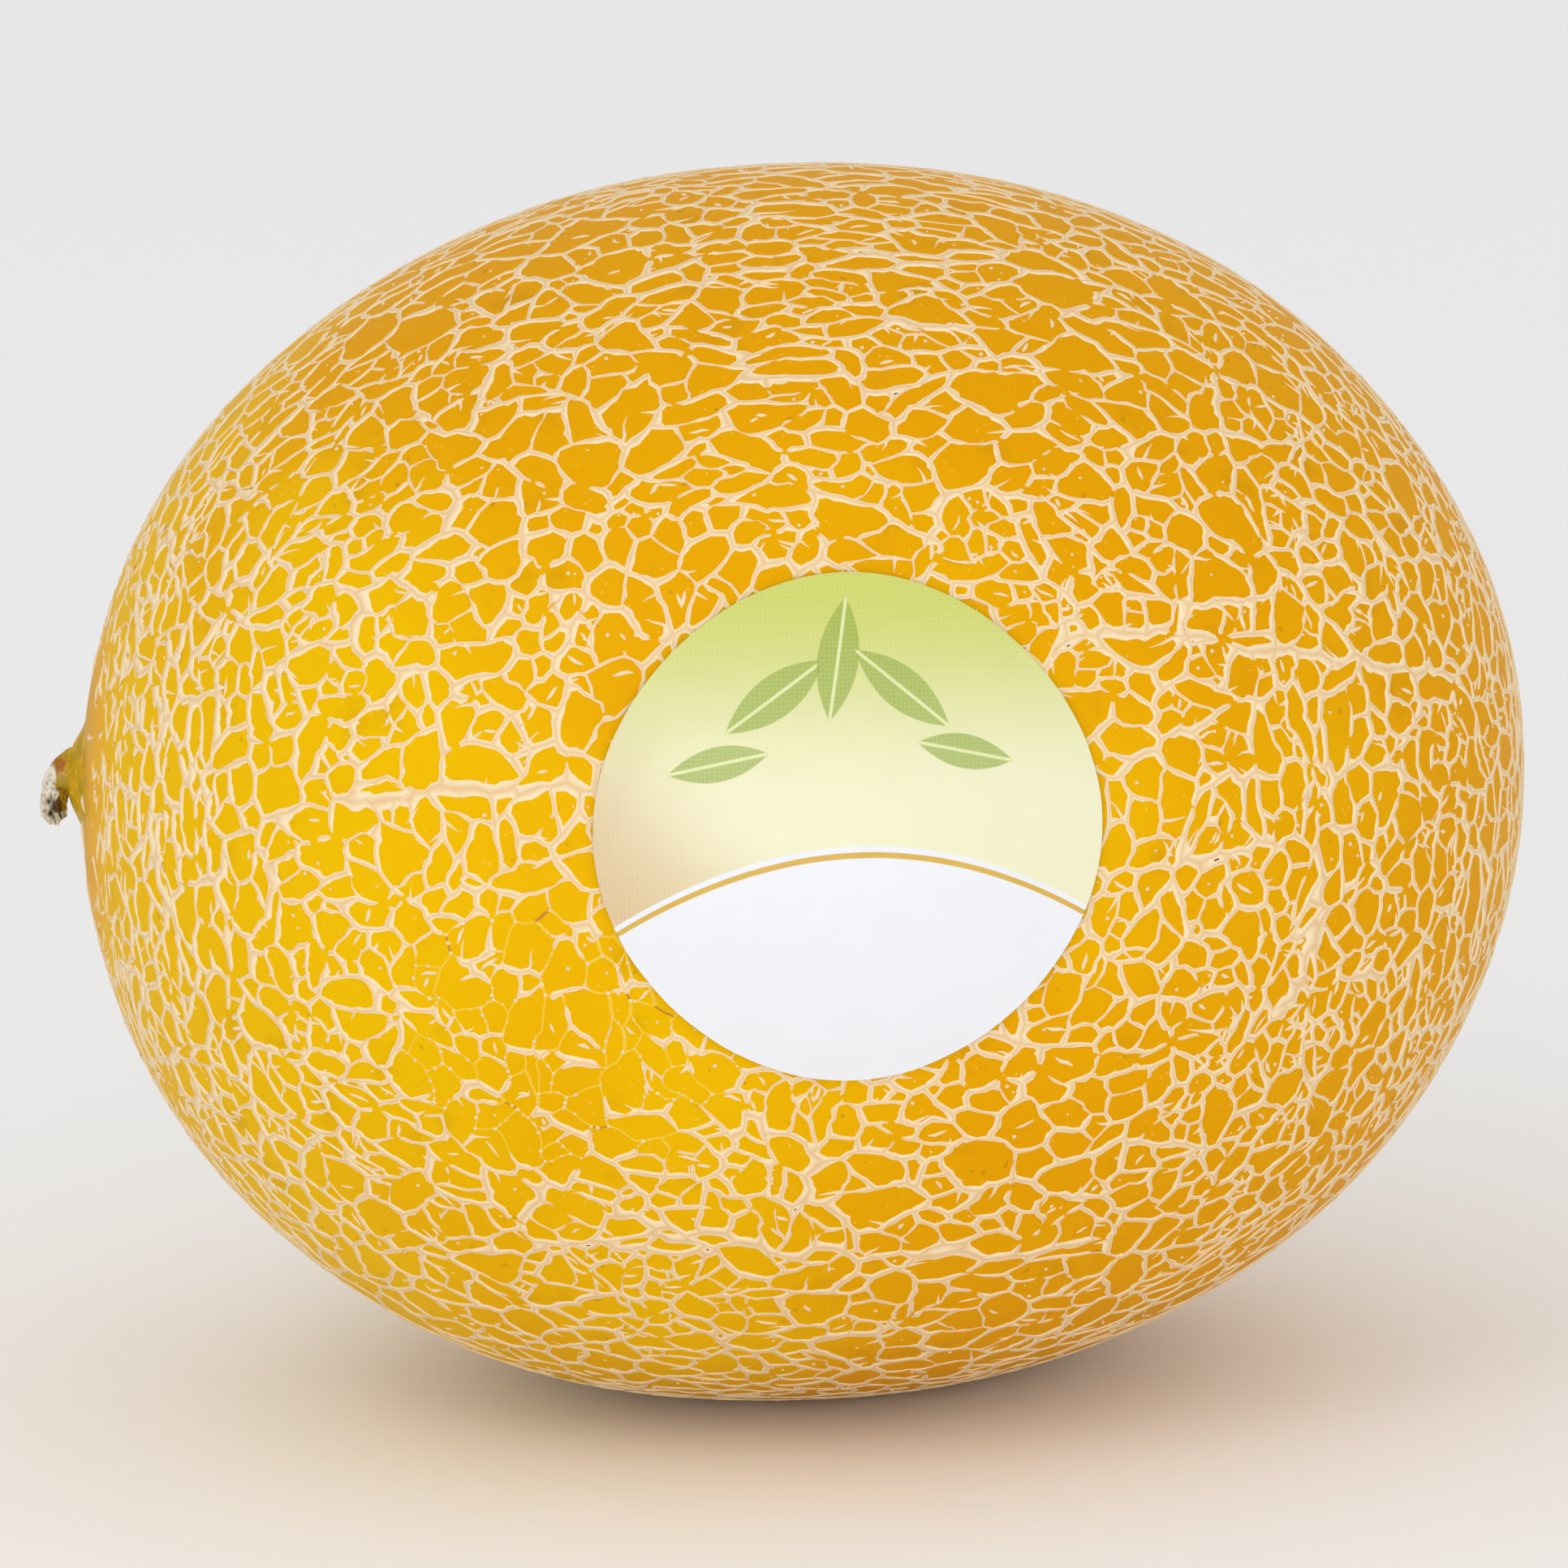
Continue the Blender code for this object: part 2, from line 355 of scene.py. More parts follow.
def breakUp(ring):
    waiting = [(ring, 2)]
    while waiting:
        ring, level = waiting.pop()
        full = fullRing(ring)
        corners = np.array([points[corner] for corner in full])
        middle = unit(corners.mean(axis=0))[None]
        outward = skinOutward(middle)[0]
        along = unit(np.array((1, 0, 0)) - outward * outward[0])
        across = np.cross(outward, along)
        places = skinPoints(corners)
        flat = np.stack((places @ along, places @ across), axis=1)
        flat -= flat.mean(axis=0)
        after = np.roll(flat, -1, axis=0)
        area = abs((flat[:, 0] * after[:, 1] - flat[:, 1] * after[:, 0]).sum()) / 2
        wanted = net["cellSize"] * cellScale(middle)[0] * math.exp(net["sizeSpread"] * breakDraw.normal())
        halves = None
        if area > wanted**2:
            stretch = math.exp(cellStretch(middle)[0] / 2)
            flat = flat * (1 / stretch, stretch)
            longest = np.linalg.eigh(flat.T @ flat)[1][:, 1]
            turn = math.atan2(longest[1], longest[0]) + net["breakTurn"] * breakDraw.normal()
            side = flat @ (math.cos(turn), math.sin(turn))
            side -= net["breakShift"] * breakDraw.normal() * np.ptp(side)
            halves = breakCell(full, side, newCrack(min(level, len(net["widths"]) - 1)))
        if halves:
            waiting += [(half, level + 1) for half in halves]
        else:
            yield ring


for ring in rings:
    for number, corner in enumerate(ring):
        key = edgeKey(corner, ring[(number + 1) % len(ring)])
        if key not in crackOf:
            crackOf[key] = newCrack(1)
rings = breakAlongRibs(rings)
rings = [small for ring in rings for small in breakUp(ring)]
rings = [fullRing(ring) for ring in rings]
print("net:", len(rings), "cells and", len(points), "corners")


# Corners settle between their neighbours, as the skin around a crack stretches
def settled(corners, edges):
    starts, ends = edges.T
    for _ in range(net["settleRounds"]):
        total = np.zeros_like(corners)
        count = np.zeros(len(corners))
        for these, those in ((starts, ends), (ends, starts)):
            np.add.at(total, these, corners[those])
            np.add.at(count, these, 1)
        used = count > 0
        pull = total[used] / count[used, None] - corners[used]
        corners[used] = unit(corners[used] + net["settle"] * pull)
    return corners


edges = sorted({edgeKey(a, b) for ring in rings for a, b in zip(ring, ring[1:] + ring[:1])})
corners = settled(np.array(points), np.array(edges))

# Points along every edge, which the cells on both sides of it share
lineIds, lineEdge, lineSpan = [], [], {}
between = []
for number, (a, b) in enumerate(edges):
    span = np.linalg.norm(corners[a] - corners[b]) * fruit["halfWidth"]
    pieces = max(1, round(span / net["step"]))
    ids = [a] + [len(corners) + len(between) + n for n in range(pieces - 1)] + [b]
    between += [corners[a] + (corners[b] - corners[a]) * (n + 1) / pieces for n in range(pieces - 1)]
    lineSpan[(a, b)] = (len(lineIds), len(lineIds) + len(ids))
    lineIds += ids
    lineEdge += [number] * len(ids)
lineIds = np.array(lineIds)
lineEdge = np.array(lineEdge)
netWays = np.concatenate((corners, unit(np.array(between))))
places = skinPoints(netWays)
shift = sum(
    waveShift(places, wavelength, amount, net["seed"] + 10 * number)
    for number, (wavelength, amount) in enumerate(net["bends"])
)
netWays = unit(netWays + shift / fruitSizes)

# What the net and its loose bits keep clear of: how far from the neck, the scar and the rest
# spot they start, and the way over which they come in
clearings = {
    "net": ((0.0115, 0.0040), (0.0030, 0.0030), (0.0100, 0.0040)),
    "bits": ((0.0150, 0.0030), (0.0040, 0.0030), (0.0110, 0.0040)),
}


def bareShare(ways, kind):
    distances = distanceFromNeck(ways), distanceFromScar(ways), distanceFromRestSpot(ways)
    return np.max([fading(away, *edge) for away, edge in zip(distances, clearings[kind])], axis=0)


def thinShare(ways):
    middle = skinPoints(seenAt(thinPlace["across"], thinPlace["up"])[None])[0]
    sizes = thinPlace["halfWide"], thinPlace["halfHigh"], thinPlace["halfHigh"]
    return fading(np.linalg.norm((skinPoints(ways) - middle) / sizes, axis=1), 0.75, 0.45)


# How much of a ridge is there at each point: 1 is whole, and under 0 it has faded out
def ridgePresence():
    ways = netWays[lineIds]
    places = skinPoints(ways)
    level, luck = (np.array([cracks[crackOf[edge]][n] for edge in edges])[lineEdge] for n in (0, 2))
    starts, ends = (netWays[side] for side in np.array(edges).T)
    steps = skinPoints(ends) - skinPoints(starts)
    lengthwise = np.abs(unit(steps)[:, 0])[lineEdge]
    # near the neck the axis points out of the skin, so the way towards the neck counts instead
    toNeck = distanceFromNeck(starts) - distanceFromNeck(ends)
    outwards = np.minimum(np.abs(toNeck) / np.linalg.norm(steps, axis=1), 1)[lineEdge]
    breaks = waveNoise(places, 0.0018, net["seed"] + 50)
    dashes = waveNoise(places, 0.0048, net["seed"] + 51)
    present = np.minimum(1, 2.2 + 0.9 * breaks - 0.22 * level)
    present -= thinShare(ways) * (
        1.25 + 0.20 * (level - 1) + 0.2 * luck - 1.10 * lengthwise**2 - 1.15 * dashes
    )
    present -= fading(distanceFromNeck(ways), 0.0165, 0.0125) * (0.42 + 1.3 * outwards - 0.75 * dashes)
    return present - 3 * bareShare(ways, "net")


present = ridgePresence()
swell = waveNoise(skinPoints(netWays[lineIds]), 0.0032, net["seed"] + 52)
level, luck = (np.array([cracks[crackOf[edge]][n] for edge in edges]) for n in (0, 1))
width = np.array(net["widths"])[level]
width = (width * np.exp(net["widthSpread"] * luck))[lineEdge]
width *= 1 - net["slimmer"][0] * rising(np.abs(netWays[lineIds, 2]), 0.40, 0.4)
width *= 1 - net["slimmer"][1] * rising(netWays[lineIds, 0], 0.50, 0.4)
there = np.clip(present, 0, 1)
lineHalf = np.maximum(width / 2 * (1 + 0.15 * swell) * there**0.38, 0.00006)
lineHeight = net["height"] * (0.72 + 0.28 * width / net["widths"][0]) * (1 + 0.10 * swell) * there**0.5
lineHeight -= net["sunk"] * fading(present, 0, 0.3)
ridgeHeight = np.full(len(netWays), -net["sunk"])
np.maximum.at(ridgeHeight, lineIds, lineHeight)
print("net:", len(edges), "ridges with", len(netWays), "points")


# A ring's points in order, and the half width of the ridge at both ends of each step round it
def ringLine(ring):
    ids, halves = [], []
    for a, b in zip(ring, ring[1:] + ring[:1]):
        start, stop = lineSpan[edgeKey(a, b)]
        way = slice(start, stop) if a < b else slice(stop - 1, start - 1 if start else None, -1)
        ids.append(lineIds[way][:-1])
        halves.append(np.stack((lineHalf[way][:-1], lineHalf[way][1:]), axis=1))
    return np.concatenate(ids), np.concatenate(halves)


# How much room there is between places in a cell and the ridges round it
def roomAt(places, sides, halves):
    steps = np.roll(sides, -1, axis=0) - sides
    away = places[..., None, :] - sides
    along = np.clip((away * steps).sum(axis=-1) / np.maximum((steps**2).sum(axis=-1), 1e-12), 0, 1)
    away = np.linalg.norm(away - along[..., None] * steps, axis=-1)
    room = away - halves[:, 0] - along * (halves[:, 1] - halves[:, 0])
    least = room.min(axis=-1)
    return least - net["rounding"] * np.log(np.exp((least[..., None] - room) / net["rounding"]).sum(axis=-1))


# The foot of the ridges round one cell: on the way from each point of its outline to its
# heart, the place where the ridges end
def cellFloor(ring, draw):
    inOrder, halves = ringLine(ring)
    places = skinPoints(netWays[inOrder])
    middle = places.mean(axis=0)
    outward = skinOutward(unit(netWays[inOrder].mean(axis=0))[None])[0]
    along = unit(np.cross(outward, (0.31, 0.47, 0.83)))
    axes = np.stack((along, np.cross(outward, along)), axis=1)
    flat = (places - middle) @ axes
    tries = np.concatenate([flat * share for share in (0, 0.2, 0.4, 0.6)])
    rooms = roomAt(tries, flat, halves)
    heart = tries[rooms.argmax()]
    closed = rooms.max() < net["filled"]
    levels = np.linspace(1, 0, net["samples"])
    room = roomAt(heart + (flat - heart)[:, None] * levels[:, None], flat, halves)
    first = np.maximum((room > 0).argmax(axis=1), 1)
    number = np.arange(len(flat))
    before, after = room[number, first - 1], room[number, first]
    back = np.clip(after / np.maximum(after - before, 1e-9), 0, 1)
    share = levels[first] + (levels[first - 1] - levels[first]) * back
    share *= 1 + net["ragged"] * draw.normal(size=len(share))
    share = np.clip(share, 0.03, 0.985)[:, None] * (not closed)
    heartWay = unit((middle + axes @ heart) / fruitSizes)
    return inOrder, heartWay + (netWays[inOrder] - heartWay) * share, heartWay, closed


floorDraw = np.random.default_rng(net["seed"] + 2)
floors = [cellFloor(ring, floorDraw) for ring in rings]
print("net: cell floors drawn")


# A node group with named inputs. A node's inputs are given by name or number, and each
# value is a plain one or another node's output.
def newGroup(name, inputs):
    group = bpy.data.node_groups.new(name, "GeometryNodeTree")
    group.interface.new_socket("Geometry", in_out="INPUT", socket_type="NodeSocketGeometry")
    kinds = {float: "NodeSocketFloat", int: "NodeSocketInt"}
    for label, value in inputs.items():
        kind = kinds.get(type(value), "NodeSocketMaterial")
        group.interface.new_socket(label, in_out="INPUT", socket_type=kind)
    group.interface.new_socket("Geometry", in_out="OUTPUT", socket_type="NodeSocketGeometry")
    return group, group.nodes.new("NodeGroupInput").outputs, group.nodes.new("NodeGroupOutput").inputs


def addNode(group, kind, inputs, **settings):
    node = group.nodes.new(kind)
    for setting, value in settings.items():
        setattr(node, setting, value)
    for key, value in inputs.items():
        if isinstance(value, bpy.types.NodeSocket):
            group.links.new(value, node.inputs[key])
        elif node.inputs[key].type == "VECTOR" and isinstance(value, float):
            node.inputs[key].default_value = (value, value, value)
        elif value is not None:
            node.inputs[key].default_value = value
    return node.outputs


def attributeOf(group, name, kind="FLOAT_VECTOR"):
    return addNode(group, "GeometryNodeInputNamedAttribute", {"Name": name}, data_type=kind)[0]


def vectorSum(group, base, vector, share):
    return addNode(group, "ShaderNodeVectorMath", {0: vector, 1: share, 2: base}, operation="MULTIPLY_ADD")[0]


# Keeps how light the cork is, which its material reads
def toned(group, shape, tone, chosen=None):
    inputs = {"Geometry": shape, "Selection": chosen, "Name": "tone", "Value": tone}
    return addNode(group, "GeometryNodeStoreNamedAttribute", inputs, data_type="FLOAT", domain="POINT")[0]


def endGroup(group, shape, given, result):
    for kind in ("GeometryNodeSetShadeSmooth", "GeometryNodeRealizeInstances"):
        shape = addNode(group, kind, {"Geometry": shape})[0]
    shape = addNode(group, "GeometryNodeSetMaterial", {"Geometry": shape, "Material": given["Finish"]})[0]
    group.links.new(shape, result[0])
    return group


# Runs a node group on points and edges with attributes, and keeps the result as a plain mesh
def grown(name, group, settings, places, edges, attributes):
    mesh = bpy.data.meshes.new(name)
    mesh.vertices.add(len(places))
    mesh.vertices.foreach_set("co", np.asarray(places, dtype=np.float32).ravel())
    mesh.edges.add(len(edges))
    mesh.edges.foreach_set("vertices", np.asarray(edges, dtype=np.int32).ravel())
    for label, (kind, domain, values) in attributes.items():
        field = "vector" if kind == "FLOAT_VECTOR" else "value"
        mesh.attributes.new(label, kind, domain).data.foreach_set(field, np.asarray(values).ravel())
    source = bpy.data.objects.new(name, mesh)
    bpy.context.scene.collection.objects.link(source)
    modifier = source.modifiers.new("growth", "NODES")
    modifier.node_group = group
    for socket in group.interface.items_tree:
        if socket.in_out == "INPUT" and socket.name in settings:
            modifier[socket.identifier] = settings[socket.name]
    depsgraph = bpy.context.evaluated_depsgraph_get()
    grownMesh = bpy.data.meshes.new_from_object(
        source.evaluated_get(depsgraph), preserve_all_data_layers=True, depsgraph=depsgraph
    )
    source.modifiers.remove(modifier)
    bpy.data.objects.remove(source)
    bpy.data.meshes.remove(mesh)
    for label in attributes:
        if label in grownMesh.attributes:
            grownMesh.attributes.remove(grownMesh.attributes[label])
    grownMesh.name = name
    return grownMesh


def coordinates(mesh):
    places = np.zeros(len(mesh.vertices) * 3)
    mesh.vertices.foreach_get("co", places)
    return places.reshape(-1, 3)


# Turns a closed mesh inside out where the volume in it comes out below nought
def facingOut(mesh):
    mesh.calc_loop_triangles()
    faces = np.zeros(len(mesh.loop_triangles) * 3, dtype=np.int32)
    mesh.loop_triangles.foreach_get("vertices", faces)
    corners = (coordinates(mesh) - fruitCentre)[faces.reshape(-1, 3)]
    if (np.cross(corners[:, 0], corners[:, 1]) * corners[:, 2]).sum() < 0:
        mesh.flip_normals()
    return mesh


def addPiece(mesh, node, material=None):
    places = coordinates(mesh)
    places[:, 2] = np.maximum(places[:, 2], 0)  # nothing reaches under the floor
    mesh.vertices.foreach_set("co", places.ravel())
    piece = bpy.data.objects.new(mesh.name, mesh)
    bpy.context.scene.collection.objects.link(piece)
    if material:
        mesh.materials.append(material)
    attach(piece, "root")
    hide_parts(node)
    return piece


# Colours are red, green and blue in linear light
def newMaterial(name, roughness, specular):
    material = bpy.data.materials.new(name)
    material.use_nodes = True
    shader = material.node_tree.nodes["Principled BSDF"]
    shader.inputs["Roughness"].default_value = roughness
    shader.inputs["Specular IOR Level"].default_value = specular
    return material, material.node_tree, shader.inputs


def calc(tree, operation, a, b=0.0, c=0.0, clamp=False):
    return addNode(tree, "ShaderNodeMath", {0: a, 1: b, 2: c}, operation=operation, use_clamp=clamp)[0]


def times(tree, a, b):
    return calc(tree, "MULTIPLY", a, b)


def timesPlus(tree, a, b, c):
    return calc(tree, "MULTIPLY_ADD", a, b, c)


def ramped(tree, value, low, high):
    inputs = {"Value": value, "From Min": low, "From Max": high}
    return addNode(tree, "ShaderNodeMapRange", inputs, interpolation_type="SMOOTHSTEP")[0]


def blended(tree, share, first, second):
    ends = [tint if isinstance(tint, bpy.types.NodeSocket) else (*tint, 1) for tint in (first, second)]
    return addNode(tree, "ShaderNodeMix", {"Factor": share, 6: ends[0], 7: ends[1]}, data_type="RGBA")[2]


# Lays colours over one another, each with the share of the place that it covers and its strength
def layered(tree, colour, layers):
    for share, strength, tint in layers:
        colour = blended(tree, times(tree, share, strength), colour, tint)
    return colour


def noiseOf(tree, where, scale, detail=2.0):
    return addNode(tree, "ShaderNodeTexNoise", {"Vector": where, "Scale": scale, "Detail": detail})["Fac"]


def dotsOf(tree, where, scale, randomness):
    inputs = {"Vector": where, "Scale": scale, "Randomness": randomness}
    return addNode(tree, "ShaderNodeTexVoronoi", inputs)["Distance"]


def objectPlace(tree):
    return addNode(tree, "ShaderNodeTexCoord", {})["Object"]


def bumped(tree, shader, height, strength, distance):
    inputs = {"Height": height, "Strength": strength, "Distance": distance}
    tree.links.new(addNode(tree, "ShaderNodeBump", inputs)[0], shader["Normal"])


cork = {
    "rim": (0.890, 0.725, 0.468),
    "line": (0.76, 0.510, 0.265),
    "roughness": 0.75,
}


def corkMaterial():
    material, tree, shader = newMaterial("cork", cork["roughness"], 0.25)
    tone = addNode(tree, "ShaderNodeAttribute", {}, attribute_name="tone")["Fac"]
    patches = timesPlus(tree, noiseOf(tree, objectPlace(tree), 420.0, 3.0), 0.7, tone)
    lighter = calc(tree, "SUBTRACT", patches, 0.35, clamp=True)
    tree.links.new(blended(tree, lighter, cork["line"], cork["rim"]), shader["Base Color"])
    return material


corkFinish = corkMaterial()

# The ridges' cross-section: a groove along the middle, a rim on each side and a steep foot
ridge = {
    "Groove rise": 0.76,
    "Rim place": 0.66,
    "Rim rise": 1.0,
    "Foot depth": 0.00007,
    "Base depth": 0.00020,
}


def ridgeGroup():
    group, given, result = newGroup("corkRidges", {**ridge, "Finish": corkFinish})
    names = ("line", "inset", "lift", "outward", "brim")
    line, inset, lift, outward, brim = (attributeOf(group, name) for name in names)

    def placed(share, rise, depth, filled):
        place = line
        for way, amount in ((inset, share), (lift, rise), (brim, filled)):
            place = vectorSum(group, place, way, amount)
        under = vectorSum(group, (0, 0, 0), outward, depth)
        return addNode(group, "ShaderNodeVectorMath", {0: place, 1: under}, operation="SUBTRACT")[0]

    def moved(shape, chosen, place):
        inputs = {"Geometry": shape, "Selection": chosen, "Position": place}
        return addNode(group, "GeometryNodeSetPosition", inputs)[0]

    def extruded(shape, chosen, place):
        inputs = {"Mesh": shape, "Selection": chosen, "Offset Scale": 0.0}
        shape, top, _ = addNode(group, "GeometryNodeExtrudeMesh", inputs, mode="EDGES")
        return moved(shape, top, place), top

    groove = placed(0.0, given["Groove rise"], 0.0, 0.0)
    rings = (  # share of the way to the foot, rise, depth, share of the filling, and tone
        (given["Rim place"], given["Rim rise"], 0.0, 0.0, 1.0),
        (1.0, 0.0, given["Foot depth"], 1.0, 0.85),
        (0.0, 0.0, given["Base depth"], 0.0, 0.0),
    )
    shape = toned(group, moved(given["Geometry"], None, groove), 0.0)
    top = None
    for *form, tone in rings:
        shape, top = extruded(shape, top, placed(*form))
        shape = toned(group, shape, tone, top)
    border = attributeOf(group, "border", "BOOLEAN")
    onBorder = addNode(group, "FunctionNodeBooleanMath", {0: top, 1: border}, operation="AND")[0]
    shape, _ = extruded(shape, onBorder, groove)
    shape = addNode(group, "GeometryNodeMergeByDistance", {"Geometry": shape, "Distance": 0.000001})[0]
    shape = addNode(group, "GeometryNodeTriangulate", {"Mesh": shape})[0]
    return endGroup(group, shape, given, result)


# The net is made in four zones, each one closed mesh
zones = {
    "net_stalk_end": lambda way: way[0] < -0.5,
    "net_blossom_end": lambda way: way[0] > 0.5,
    "net_front": lambda way: way[1] < 0,
    "net_back": lambda way: True,
}
zoneOf = [next(name for name, holds in zones.items() if holds(heart)) for _, _, heart, _ in floors]
zonesAt = {}
for ring, zone in zip(rings, zoneOf):
    for a, b in zip(ring, ring[1:] + ring[:1]):
        zonesAt.setdefault(edgeKey(a, b), set()).add(zone)


def makeZone(zone, group):
    ids, feet, loops, border, brims = [], [], [], [], []
    count = 0
    for ring, (inOrder, foot, _, closed), where in zip(rings, floors, zoneOf):
        if where != zone:
            continue
        number = np.arange(len(inOrder))
        loops.append(np.stack((number, np.roll(number, -1)), axis=1) + count)
        for a, b in zip(ring, ring[1:] + ring[:1]):
            start, stop = lineSpan[edgeKey(a, b)]
            border += [len(zonesAt[edgeKey(a, b)]) > 1] * (stop - start - 1)
        ids.append(inOrder)
        feet.append(foot)
        brims.append(np.full(len(inOrder), closed * max(ridgeHeight[inOrder].mean(), 0)))
        count += len(inOrder)
    ids = np.concatenate(ids)
    ways = netWays[ids]
    line = onSkin(ways)
    outward = skinOutward(ways)
    brim = np.concatenate(brims)
    attributes = {
        "line": ("FLOAT_VECTOR", "POINT", line),
        "brim": ("FLOAT_VECTOR", "POINT", outward * brim[:, None]),
        "inset": ("FLOAT_VECTOR", "POINT", onSkin(unit(np.concatenate(feet))) - line),
        "lift": ("FLOAT_VECTOR", "POINT", outward * ridgeHeight[ids][:, None]),
        "outward": ("FLOAT_VECTOR", "POINT", outward),
        "border": ("BOOLEAN", "EDGE", border),
    }
    settings = {**ridge, "Finish": corkFinish}
    mesh = facingOut(grown(zone, group, settings, line, np.concatenate(loops), attributes))
    mesh.set_sharp_from_angle(angle=net["sharpFrom"])
    addPiece(mesh, "netted_fruit")
    print("net:", zone, len(mesh.polygons), "faces")


ridgeTree = ridgeGroup()
for zone in zones:
    makeZone(zone, ridgeTree)


# Thorns of cork that run from a ridge into a cell, and short dashes that stand alone
spurs = {
    "perCell": 0.50,
    "points": 4,
    "turn": math.radians(38),
    "lengths": (0.40, 1.05),  # of the way to the middle of the cell
    "halfWidths": (0.00022, 0.00038),
    "wobble": 0.045,
}
dashes = {
    "perCell": 0.20,
    "points": 4,
    "lengths": (0.0008, 0.0021),
    "halfWidths": (0.00017, 0.00031),
    "wobble": 0.06,
}
strand = {"Sides": 5}
strandDepth = 0.40  # of its half width that a strand's middle lies under the skin


def turned(ways, axis, angle):
    return ways * math.cos(angle) + np.cross(axis, ways) * math.sin(angle)


def strandPoints(start, step, kind, halfWidth, taper, draw):
    share = np.linspace(0, 1, kind["points"])
    bends = np.cumsum(draw.normal(size=kind["points"])) * (share > 0)
    ways = start + step * share[:, None] + np.cross(start, step) * kind["wobble"] * bends[:, None]
    return unit(ways), np.maximum(halfWidth * taper(share), 0.00003)


# How wide a strand with two thin ends is along its length. A lower power gives blunter ends.
def roundEnds(power):
    return lambda share: np.sin(math.pi * (0.04 + 0.92 * share)) ** power


def anyCorner(inOrder, draw):
    return netWays[inOrder[draw.integers(len(inOrder))]]

def cellSpurs(draw):
    for inOrder, _, heart, _ in floors:
        for _ in range(draw.poisson(spurs["perCell"])):
            number = draw.integers(len(inOrder))
            start = netWays[inOrder[number]]
            angle = spurs["turn"] * draw.normal()
            step = turned((heart - start) * draw.uniform(*spurs["lengths"]), start, angle)
            halfWidth = draw.uniform(*spurs["halfWidths"])
            if ridgeHeight[inOrder[number]] > net["height"] * 0.5:
                yield strandPoints(start, step, spurs, halfWidth, lambda share: (1 - share) ** 0.75, draw)


def cellDashes(draw):
    for inOrder, _, heart, _ in floors:
        for _ in range(draw.poisson(dashes["perCell"])):
            rim = anyCorner(inOrder, draw)
            middle = heart + (rim - heart) * draw.uniform(0, 0.62)
            along = anyCorner(inOrder, draw) - anyCorner(inOrder, draw)
            length = np.linalg.norm(along)
            if length == 0 or bareShare(middle[None], "bits")[0] > 0:
                continue
            step = along / length * draw.uniform(*dashes["lengths"]) / fruit["halfWidth"]
            halfWidth = draw.uniform(*dashes["halfWidths"])
            yield strandPoints(middle - step / 2, step, dashes, halfWidth, roundEnds(0.6), draw)


def strandGroup():
    group, given, result = newGroup("corkStrands", {**strand, "Finish": corkFinish})
    inputs = {"Resolution": given["Sides"], "Radius": 1.0}
    profile = addNode(group, "GeometryNodeCurvePrimitiveCircle", inputs)[0]
    curve = addNode(group, "GeometryNodeMeshToCurve", {"Mesh": given["Geometry"]})[0]
    half = attributeOf(group, "half", "FLOAT")
    inputs = {"Curve": curve, "Profile Curve": profile, "Scale": half, "Fill Caps": True}
    shape = addNode(group, "GeometryNodeCurveToMesh", inputs)[0]
    return endGroup(group, toned(group, shape, 0.75), given, result)


def makeStrands(name, lines, group, finish=corkFinish, depth=strandDepth):
    lines = list(lines)
    ways = np.concatenate([line[0] for line in lines])
    halves = np.concatenate([line[1] for line in lines])
    starts = np.cumsum([0] + [len(line[0]) for line in lines])
    number = np.arange(len(ways) - 1)
    number = number[~np.isin(number + 1, starts)]
    strandEdges = np.stack((number, number + 1), axis=1)
    attributes = {"half": ("FLOAT", "POINT", halves)}
    settings = {**strand, "Finish": finish}
    mesh = facingOut(grown(name, group, settings, onSkin(ways, -depth * halves), strandEdges, attributes))
    addPiece(mesh, "netted_fruit")
    print("net:", name, len(lines), "strands,", len(mesh.polygons), "faces")


# Pale streaks that run out from the neck
neckStreaks = {
    "points": 7,
    "wobble": 0.03,
    "lines": (  # turn round it, way out at both ends, half width
        (-0.15, 0.0062, 0.0092, 0.00042),
        (-0.62, 0.0060, 0.0100, 0.00040),
        (0.55, 0.0095, 0.0130, 0.00030),
        (1.30, 0.0100, 0.0150, 0.00034),
        (-1.25, 0.0090, 0.0150, 0.00034),
        (2.60, 0.0080, 0.0125, 0.00036),
        (3.70, 0.0085, 0.0120, 0.00036),
        (1.95, 0.0110, 0.0150, 0.00030),
    ),
}

# Short dashes that run round the neck, between its bare skin and the net
neckDashes = {
    "count": 210,
    "away": (0.0165, 0.0260),
    "lengths": (0.0008, 0.0034),
    "halfWidths": (0.00011, 0.00027),
    "points": 5,
    "wobble": 0.03,
}


# The way to a place this far out from the neck, at this turn round it
def byNeck(out, turn):
    y = -out * math.cos(turn) / fruit["halfWidth"]
    z = (fruit["neckOffset"] + out * math.sin(turn)) / fruit["halfWidth"]
    return unit(np.array((-math.sqrt(1 - y * y - z * z), y, z)))


# A streak is widest nearer to its inner end
def streakTaper(share):
    return np.sin(math.pi * share**0.6) ** 0.7


def streakLines(draw):
    for turn, near, far, half in neckStreaks["lines"]:
        start, end = byNeck(near, turn), byNeck(far, turn - 0.10)
        yield strandPoints(start, end - start, neckStreaks, half, streakTaper, draw)


def neckDashLines(draw):
    for _ in range(neckDashes["count"]):
        out = draw.uniform(*neckDashes["away"])
        turn = draw.uniform(0, 2 * math.pi)
        end = byNeck(out + 0.0003 * draw.normal(), turn + draw.uniform(*neckDashes["lengths"]) / out)
        start = byNeck(out, turn)
        halfWidth = draw.uniform(*neckDashes["halfWidths"])
        yield strandPoints(start, end - start, neckDashes, halfWidth, roundEnds(0.7), draw)


